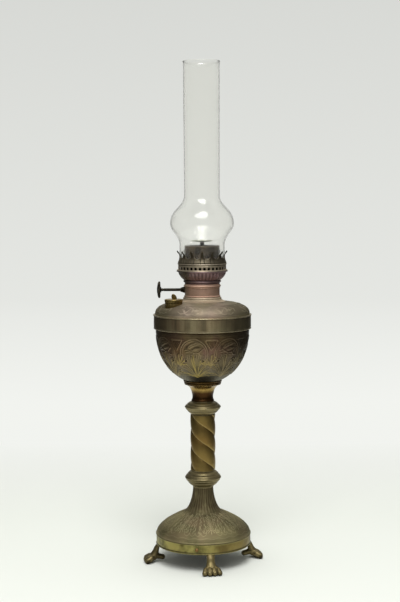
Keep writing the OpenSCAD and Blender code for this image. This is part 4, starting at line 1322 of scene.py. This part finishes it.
def pierced_ring(count, reach, low, high, hole_low, hole_high, hole_share):
    """Upright ring with rounded square holes. Each cell is a grid between its hole's outline and its own border: a
    point is the hole's point and the border's point at one bearing, mixed by its share. The border's bearing
    follows a square, and the hole's a superellipse."""
    bearing = np.arange(32) * TURN / 32 + TURN / 64
    share = np.linspace(0, 1, 5)[:, None]
    cos, sin = np.cos(bearing), np.sin(bearing)
    square = 1 / np.maximum(np.abs(cos), np.abs(sin))
    soft = (np.abs(cos) ** 5 + np.abs(sin) ** 5) ** -0.2
    half_u, half_v = math.pi / count, (high - low) / 2
    hole_u, hole_v = half_u * hole_share, (hole_high - hole_low) / 2
    middle, hole_middle = (high + low) / 2, (hole_high + hole_low) / 2
    u = (1 - share) * hole_u * soft * cos + share * half_u * square * cos
    v = (1 - share) * (hole_middle + hole_v * soft * sin) + share * (middle + half_v * square * sin)
    # Each hole's border is darkened as painted shade in the hole.
    grime = np.clip(1 - share * 4, 0, 1) * 0.5 + 0 * u
    patches = []
    for k in range(count):
        points = turned(reach, u + (k + 0.5) * TURN / count, v)
        faces = woven(points, closed=False)
        patches.append((points, faces[:, ::-1], {"wear": 0.25 * share + 0 * u, "grime": grime}))
    return patches


def crown_sheet(count, columns_each=20):
    """Crown of the gallery: a flared sheet cut into prongs. The sheet's upper border follows U-shaped notches
    between the prongs, and each prong is S-shaped, drawn in at its waist and curled out at its tip."""
    base, tip = level("chimney_gallery", True) - 18.4, level("chimney_gallery", True)
    reach = radius("chimney_gallery") - 1.8
    angle = around(count * columns_each)[None, :]
    local = (angle / TURN * count + 0.5) % 1 - 0.5
    share = np.linspace(0, 1, 26)[:, None]
    prong = np.abs(local) < 0.19
    bottom = 8.6 + 3.4 * np.clip((0.5 - np.abs(local)) / 0.31, 0, 1) ** 2.4
    z = share * np.where(prong, tip - base, bottom)
    waist = -1.9 * np.sin(np.pi * np.clip((z - 3.0) / 14.0, 0, 1))
    curl = 2.3 * np.clip((z - 13.4) / 5.0, 0, 1) ** 1.3
    r = reach + 0.2 + waist + curl
    narrow = np.where(prong, 1 - 0.45 * smooth_step(11, 17.5, z), 1.0)
    centre = angle - local * TURN / count
    points = turned(r, centre + (angle - centre) * narrow, base + z)
    # The notches' upper edges are painted pale as a highlight, and the prongs made darker above their middle.
    edge = smooth_step(0.84, 1.0, share) + 0 * z
    masks = {"wear": edge * np.where(prong, 0.0, 1.0), "grime": np.where(prong, smooth_step(7, 12, z), 0.2) * 0.8 + 0 * z}
    faces = woven(points, closed=False)
    jump = np.abs(np.diff(np.append(z[-1], z[-1, 0])))
    return points, faces[jump[faces[:, 0] % angle.size] < 3.0], masks


def gallery_profile():
    """Lower flange and upper bead of the gallery with the seat for the glass, below and above the pierced ring,
    and the upright screen behind the holes, painted all dark as the shade seen through them."""
    low = level("chimney_gallery")
    reach = radius("chimney_gallery")
    flange = profile((33.6, low), bead(reach + 0.1, low, 1.7), (34.4, low + 1.9), (33.6, low + 1.9))
    rim = profile(
        (26.4, low + 8.2), (33.6, low + 8.2), (33.6, low + 7.6), (34.4, low + 7.6), (34.4, low + 8.8),
        bead(35.3, low + 8.9, 2.0), (34.4, low + 11.0), (33.8, low + 11.0), (33.7, low + 9.2), (26.4, low + 9.2),
    )
    screen = profile((29.4, low + 0.6), (29.9, low + 0.6), (29.9, low + 8.4), (29.4, low + 8.4))
    return flange, rim, screen


def lamp_gallery():
    """The gallery's rims and its ring of air holes."""
    low = level("chimney_gallery")
    rims = [lathe(line, 160, 0.5) for line in gallery_profile()]
    # The screen is painted all dark, as the shade seen through the holes.
    rims[-1][2].update(wear=0.0, grime=1.0)
    return rims, pierced_ring(sizes().air_holes, 34.4, low + 1.7, low + 7.8, low + 2.0, low + 5.8, 0.56)


def drum_profile():
    """Cap of the burner: a drum round the wick tube with a foot, a turned-in lip and a fine ring near its top."""
    low, high = level("burner_cap"), level("burner_cap", True)
    reach = 25.1
    return profile(
        (25.3, low), (27.4, low), (27.4, low + 0.8), (26.3, low + 1.4), (26.1, low + 3), (reach, low + 4),
        (reach, low + 8.4), arc((reach - 0.1, low + 8.9), 0.45, -70, 70, 6), (reach, low + 9.4), (reach, high - 0.9),
        bezier((reach, high - 0.9), (reach, high - 0.3), (24.8, high), (24.2, high), 8), (19.8, high),
        (19.8, high - 0.8), (23, high - 0.8), (24.3, high - 1.6), (24.3, low + 4), (25.3, low + 3),
    )


def spreader_profile():
    """Flame spreader: a shallow dish with a rolled rim, a low button above and a thick boss below."""
    low, high, reach = level("flame_spreader"), level("flame_spreader", True), radius("flame_spreader")
    return profile(
        (0, low), (5, low), bezier((5, low), (9, low + 0.1), (12.5, low + 0.5), (reach - 0.5, low + 1.4), 12),
        arc((reach - 0.45, low + 1.85), 0.45, -60, 120, 8), bezier((reach - 0.8, low + 2.0), (12, low + 1.5), (8, low + 1.2), (4.4, low + 1.2), 12),
        bezier((3.2, low + 1.3), (2.6, low + 1.7), (1.2, high), (0, high), 8),
    )


def lamp_wick():
    """Woven wick: a tube whose walls carry a plain weave, the product of two cosines along and across it."""
    low, high, reach = level("wick"), level("wick", True), radius("wick")
    wall = 1.8
    line = finer(profile((reach - wall, low), (reach, low), (reach, high - 0.4), (reach - 0.4, high), (reach - wall + 0.4, high), (reach - wall, high - 0.4)), 1.1)
    angle = around(144)[None, :]
    r, z = line[:, :1], line[:, 1:]
    weave = 0.06 * np.cos(72 * angle) * np.cos(z * math.pi / 1.5)
    points = turned(r + weave * np.sign(r - reach + wall / 2), angle, z)
    keep = woven(points)
    middle = points.reshape(-1, 3)[keep].mean(1)
    slot = (np.abs(middle[:, 0]) < 7.3) & (middle[:, 1] > 0) & (middle[:, 2] < level("draught_duct", True) + 11)
    return points, keep[~slot], {}


def glass_line():
    """Outer line of the chimney: a straight foot, a bulge, a sharp shoulder and a long tube that widens a little."""
    seat, top = level("chimney"), level("chimney", True)
    foot, bulge, tube, mouth = 32.4, radius("chimney"), 25.5, 26.0
    return np.vstack([
        [[foot, seat]],
        bezier((foot, seat + 28), (foot, seat + 39), (bulge, seat + 47.5), (bulge, seat + 57), 40),
        bezier((bulge, seat + 58), (bulge, seat + 80), (tube - 0.7, seat + 82.4), (tube, seat + 99), 46),
        [[tube, seat + 150], [mouth, top - 2.6]],
        arc((mouth - 0.4, top - 1.4), 1.1, -60, 90, 12),
    ])


def lamp_glass():
    """Blown chimney: its line and the same line moved inwards by the wall, joined over the rolled mouth."""
    line = glass_line()
    seat = level("chimney")
    cut = line[:, 0].size - 12
    inner = (line[:cut] - normals_of(line)[:cut] * sizes().glass_wall)[::-1]
    inner[-1] = (line[0, 0] - sizes().glass_wall, seat)
    closed = profile(line, (line[-1, 0] - 1.0, line[-1, 1] - 0.3), inner)
    return lathe(closed, 160, 3.0)


# Stage


def add_camera():
    """Camera at the photograph's viewing angle, level with the glass and tilted down a little."""
    stage = bpy.context.scene.lamp_stage
    data = bpy.data.cameras.new("camera")
    data.lens = stage.lens
    data.sensor_width = 36
    camera = bpy.data.objects.new("camera", data)
    side_step, lean = -0.0026, math.radians(0.26)
    camera.location = (side_step, -stage.camera_distance, stage.camera_height)
    camera.rotation_euler = (math.pi / 2 - stage.camera_tilt, lean, 0)
    data.clip_start, data.clip_end = 0.05, 30
    bpy.context.scene.collection.objects.link(camera)
    bpy.context.scene.camera = camera


def paper_finish(tint):
    """White paper: lit like any surface near the lamp, so that it takes the shadow, and of a plain level of its own
    further off, for what the camera, metal and glass see. From behind the camera looks through it."""
    f = Finish("white_paper")
    parts = f.node("ShaderNodeSeparateXYZ", inputs={0: f.place})
    y, z = parts.part("Y"), parts.part("Z")
    rays = f.node("ShaderNodeLightPath")
    seen = rays.part("Is Camera Ray") + rays.part("Is Glossy Ray") + rays.part("Is Transmission Ray")
    far = (y + z * 2.0).between(0.25, 0.85)
    glow_level = 0.90 - 0.10 * z.between(0.03, 0.25) - 0.11 * z.between(0.2, 1.1)
    glow = f.node("ShaderNodeEmission", inputs={"Color": as_colour((0.985, 1.0, 0.96)), "Strength": glow_level})
    matt = f.node("ShaderNodeBsdfDiffuse", inputs={"Color": as_colour(tint)})
    both = f.node("ShaderNodeMixShader", inputs={0: far * seen.between(0, 1), 1: matt, 2: glow})
    behind = f.node("ShaderNodeNewGeometry", output="Backfacing") * rays.part("Is Camera Ray")
    clear = f.node("ShaderNodeBsdfTransparent")
    paper = f.node("ShaderNodeMixShader", inputs={0: behind, 1: both, 2: clear})
    f.node("ShaderNodeOutputMaterial", inputs={"Surface": paper})
    return f.material


def add_backdrop():
    """One sheet of paper, a little wider than the view: flat under the lamp and curved up behind it by a quarter
    circle."""
    bend, back, front, tall = 0.7, 1.0, -0.9, 3.2
    a = np.linspace(0, math.pi / 2, 24)
    floor = np.stack([np.linspace(front, back, 30), np.zeros(30)], -1)
    curve = np.stack([back + bend * np.sin(a), bend * (1 - np.cos(a))], -1)
    wall = np.stack([np.full(6, back + bend), np.linspace(bend, tall, 6)], -1)
    line = np.vstack([floor, curve[1:], wall[1:]])
    wide = 0.40 + 0.11 * (line[:, :1] - front)
    x = wide * np.linspace(-1, 1, 12)[None, :]
    points = np.stack([x, line[:, :1] + 0 * x, line[:, 1:] + 0 * x], -1)
    mesh = bpy.data.meshes.new("paper")
    mesh.from_pydata(points.reshape(-1, 3), [], woven(points, rings=False, closed=False).tolist())
    mesh.polygons.foreach_set("use_smooth", np.ones(len(mesh.polygons), bool))
    mesh.materials.append(paper_finish(bpy.context.scene.lamp_stage.backdrop))
    paper = bpy.data.objects.new("paper", mesh)
    bpy.context.scene.collection.objects.link(paper)


def add_softbox(name, place, aim, size, power, mirrored=True):
    """Oval area lamp at place, turned to aim, in metres and watts. Metal and glass show it where it is mirrored."""
    data = bpy.data.lights.new(name, "AREA")
    data.shape = "ELLIPSE"
    data.size, data.size_y = size
    data.energy = power
    lamp = bpy.data.objects.new(name, data)
    lamp.location = place
    lamp.rotation_euler = Vector(np.subtract(aim, place)).to_track_quat("-Z", "Y").to_euler()
    lamp.visible_glossy = lamp.visible_transmission = mirrored
    bpy.context.scene.collection.objects.link(lamp)


def dark_room():
    """World that is white where the camera looks past the paper and otherwise a dim room, lighter above. Light that
    the glass lets through comes from a brighter room, as white walls round the set would give it."""
    f = Finish("room", "worlds")
    way = f.node("ShaderNodeTexCoord", output="Generated")
    up = f.node("ShaderNodeSeparateXYZ", inputs={0: way}, output="Z")
    rays = f.node("ShaderNodeLightPath")
    through = rays.part("Is Transmission Ray") * (1 - rays.part("Diffuse Depth")).between(0, 1)
    room_level = 0.04 + 0.36 * up.between(0.1, 0.95) + 0.26 * rays.part("Is Diffuse Ray") + 0.82 * through
    room = f.node("ShaderNodeBackground", inputs={"Color": (0.97, 0.98, 0.94, 1), "Strength": room_level})
    white = f.node("ShaderNodeBackground", inputs={"Color": (0.80, 0.82, 0.78, 1)})
    both = f.node("ShaderNodeMixShader", inputs={0: rays.part("Is Camera Ray"), 1: room, 2: white})
    f.node("ShaderNodeOutputWorld", inputs={"Surface": both})
    return f.material


def add_lights():
    """A soft lamp in front, half way up the sky and brighter in its middle, another overhead for the paper alone, and
    a dim room round them."""
    add_softbox("front", (0.18, -0.95, 2.3), (0, 0, 0.45), (0.9, 0.9), 11.0)
    add_softbox("front_edge", (-0.08, -1.36, 2.08), (0, 0, 0.45), (1.5, 1.4), 26.0)
    add_softbox("overhead", (0.05, 0.1, 2.2), (0.05, 0.05, 0), (1.1, 1.1), 9.0, mirrored=False)
    scene = bpy.context.scene
    scene.world = dark_room()
    scene.view_settings.view_transform = "Standard"


# Operators


class LAMP_OT_stage(bpy.types.Operator):
    """Set the camera, the white paper and the soft lights"""

    bl_idname = "lamp.stage"
    bl_label = "Stage"

    def execute(self, context):
        add_camera()
        add_backdrop()
        add_lights()
        return {"FINISHED"}


class LAMP_OT_base(bpy.types.Operator):
    """Build the embossed dome, its band and the four paw feet"""

    bl_idname = "lamp.base"
    bl_label = "Base"

    def execute(self, context):
        f = finishes()
        rim = lathe(rim_of_dome(), 144, 0.8)
        # The rim's paler edges are damped, and its low side next to the band is darkened as painted shade in the gap.
        rim[2]["wear"] = 0.15 * rim[2]["wear"]
        rim[2]["grime"] = smooth_step(2.0, 0.9, rim[0][..., 2] - level("base_band", True))
        make_piece("embossed_dome", "stand", "aged_brass", f["dome"], [lamp_base_dome(), rim], ["base_dome"], sharp=0)
        band = [lathe(base_band_profile(), 256, 0.7, 0.9, base_wave)]
        make_piece("base_ring_band", "stand", "bright_brass", f["base"], band, ["base_band"])
        lamp_paws()
        return {"FINISHED"}


class LAMP_OT_column(bpy.types.Operator):
    """Build the twisted column between its two knops, the font socket and its dark ring"""

    bl_idname = "lamp.column"
    bl_label = "Column"

    def execute(self, context):
        f = finishes()
        lower = [lathe(knop_profile("lower_knop", 13.75, 15.1, 16.9), 144, 0.5)]
        upper = [lathe(knop_profile("upper_knop", 11.0, 16.9, 16.4), 144, 0.5)]
        make_piece("turned_lower_knop", "stand", "aged_brass", f["knop"], lower, ["lower_knop"])
        make_piece("turned_upper_knop", "stand", "aged_brass", f["knop"], upper, ["upper_knop"])
        make_piece("spiral_column", "stand", "aged_brass", f["column"], [lamp_column()], ["twisted_column"])
        make_piece("flared_socket", "stand", "bright_brass", f["socket"], [lathe(socket_profile(), 128, 0.6)], ["font_socket"])
        make_piece("stepped_ring", "stand", "dark_bronze", f["ring"], [lathe(ring_profile(), 144, 0.45)], ["socket_ring"])
        return {"FINISHED"}


class LAMP_OT_font(bpy.types.Operator):
    """Build the embossed font with its band, shoulder, collar and filler"""

    bl_idname = "lamp.font"
    bl_label = "Font"

    def execute(self, context):
        f = finishes()
        make_piece("embossed_bowl", "stand", "aged_brass", f["bowl"], [lamp_bowl()], ["font_bowl"], sharp=0)
        band = [lathe(font_band_profile(), 360, 0.8, 0.8, band_wave)]
        make_piece("beaded_band", "stand", "aged_brass", f["band"], band, ["font_band"])
        make_piece("embossed_shoulder", "stand", "aged_brass", f["shoulder"], [lamp_shoulder()], ["font_shoulder"], sharp=0, solid=1.2)
        make_piece("flared_collar", "stand", "bright_brass", f["collar"], [lathe(collar_profile(), 144, 0.5)], ["font_collar"])
        make_piece("milled_cap", "cap", "dark_bronze", f["cap"], [lamp_cap()], ["filler_cap"])
        make_piece("thumb_leaf", "cap", "dark_bronze", f["cap"], [lamp_thumb_piece()], ["cap_finial"], sharp=0)
        return {"FINISHED"}


class LAMP_OT_burner(bpy.types.Operator):
    """Build the burner: neck, wick shaft and wheel, air bowl, gallery, drum, spreader and wick"""

    bl_idname = "lamp.burner"
    bl_label = "Burner"

    def execute(self, context):
        f = finishes()
        make_piece("stepped_neck", "stand", "copper_patina", f["copper"], [lathe(neck_profile(), 144, 0.4)], ["burner_neck"])
        make_piece("cone_gland", "stand", "dark_bronze", f["bronze"], [along_shaft(gland_profile())], ["shaft_gland"])
        make_piece("wick_spindle", "wick_knob", "dark_bronze", f["bronze"], [along_shaft(shaft_profile(), 40)], ["wick_shaft"])
        wheel = [along_shaft(wheel_profile(), 240, 0.5, 0.6, wheel_wave)]
        make_piece("lens_wheel", "wick_knob", "dark_bronze", f["bronze"], wheel, ["thumbwheel"])
        make_piece("fluted_air_bowl", "stand", "copper_patina", f["mauve"], [lamp_air_bowl()], ["air_bowl"])
        rims, ring = lamp_gallery()
        crown = [crown_sheet(sizes().prongs)]
        node = ["chimney_gallery"]
        thin = {"replaces": node, "sharp": math.radians(50), "solid": 0.7}
        make_piece("gallery_rims", "gallery", "copper_patina", f["posts"], rims, node)
        make_piece("gallery_air_ring", "gallery", "copper_patina", f["posts"], ring, **thin)
        make_piece("gallery_crown", "gallery", "copper_patina", f["crown"], crown, **thin)
        make_piece("burner_drum", "gallery", "dark_bronze", f["drum"], [lathe(drum_profile(), 144, 0.6)], ["burner_cap"])
        make_piece("spreader_dish", "spreader", "steel", f["dish"], [lathe(spreader_profile(), 96, 0.6)], ["flame_spreader"])
        make_piece("woven_wick", "wick_set", "wick_cotton", f["cotton"], [lamp_wick()], ["wick"])
        return {"FINISHED"}


class LAMP_OT_glass(bpy.types.Operator):
    """Blow the glass chimney"""

    bl_idname = "lamp.glass"
    bl_label = "Glass"

    def execute(self, context):
        make_piece("blown_chimney", "glass", "clear_glass", finishes()["glass"], [lamp_glass()], ["chimney"], sharp=math.radians(60))
        return {"FINISHED"}


KEPT_NODES = {
    "gold": ["font_boss", "wick_carrier", "pinion"],
    "cap": ["filler_neck"],
    # Wick tubes: sooty, and dark as the painted shade seen through the gallery's holes.
    "soot": ["outer_wick_tube", "inner_wick_tube", "draught_duct", "spreader_stem"],
    "screw": ["band_screws"],
    "iron": ["base_weight"],
    "steel": ["foot_screws", "tie_rod", "base_washer", "base_nut", "socket_washer", "socket_nut"],
    "leather": ["filler_washer", "collar_gasket"],
}


class LAMP_OT_inner_parts(bpy.types.Operator):
    """Give the pieces that keep their frame shape their finishes"""

    bl_idname = "lamp.inner_parts"
    bl_label = "Inner parts"

    def execute(self, context):
        for finish, nodes in KEPT_NODES.items():
            for node in nodes:
                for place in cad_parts[node].material_slots:
                    place.material = finishes()[finish]
        return {"FINISHED"}


class LAMP_PT_panel(bpy.types.Panel):
    """Panel that lists the steps of the lamp"""

    bl_idname = "LAMP_PT_panel"
    bl_label = "Kerosene Lamp"
    bl_space_type = "VIEW_3D"
    bl_region_type = "UI"
    bl_category = "Lamp"

    def draw(self, context):
        for operator in OPERATORS:
            self.layout.operator(operator.bl_idname)
        for group in (context.scene.lamp_sizes, context.scene.lamp_colours, context.scene.lamp_stage):
            for name in group.bl_rna.properties.keys():
                if name not in ("rna_type", "name"):
                    self.layout.prop(group, name)


OPERATORS = (
    LAMP_OT_stage,
    LAMP_OT_base,
    LAMP_OT_column,
    LAMP_OT_font,
    LAMP_OT_burner,
    LAMP_OT_glass,
    LAMP_OT_inner_parts,
)
CLASSES = (LampSizes, LampColours, LampStage, *OPERATORS, LAMP_PT_panel)


def register():
    for cls in CLASSES:
        bpy.utils.register_class(cls)
    bpy.types.Scene.lamp_sizes = bpy.props.PointerProperty(type=LampSizes)
    bpy.types.Scene.lamp_colours = bpy.props.PointerProperty(type=LampColours)
    bpy.types.Scene.lamp_stage = bpy.props.PointerProperty(type=LampStage)


def unregister():
    del bpy.types.Scene.lamp_stage
    del bpy.types.Scene.lamp_colours
    del bpy.types.Scene.lamp_sizes
    for cls in reversed(CLASSES):
        bpy.utils.unregister_class(cls)


def main():
    register()
    bpy.ops.lamp.stage()
    bpy.ops.lamp.base()
    bpy.ops.lamp.column()
    bpy.ops.lamp.font()
    bpy.ops.lamp.burner()
    bpy.ops.lamp.glass()
    bpy.ops.lamp.inner_parts()


if __name__ == "__main__":
    main()
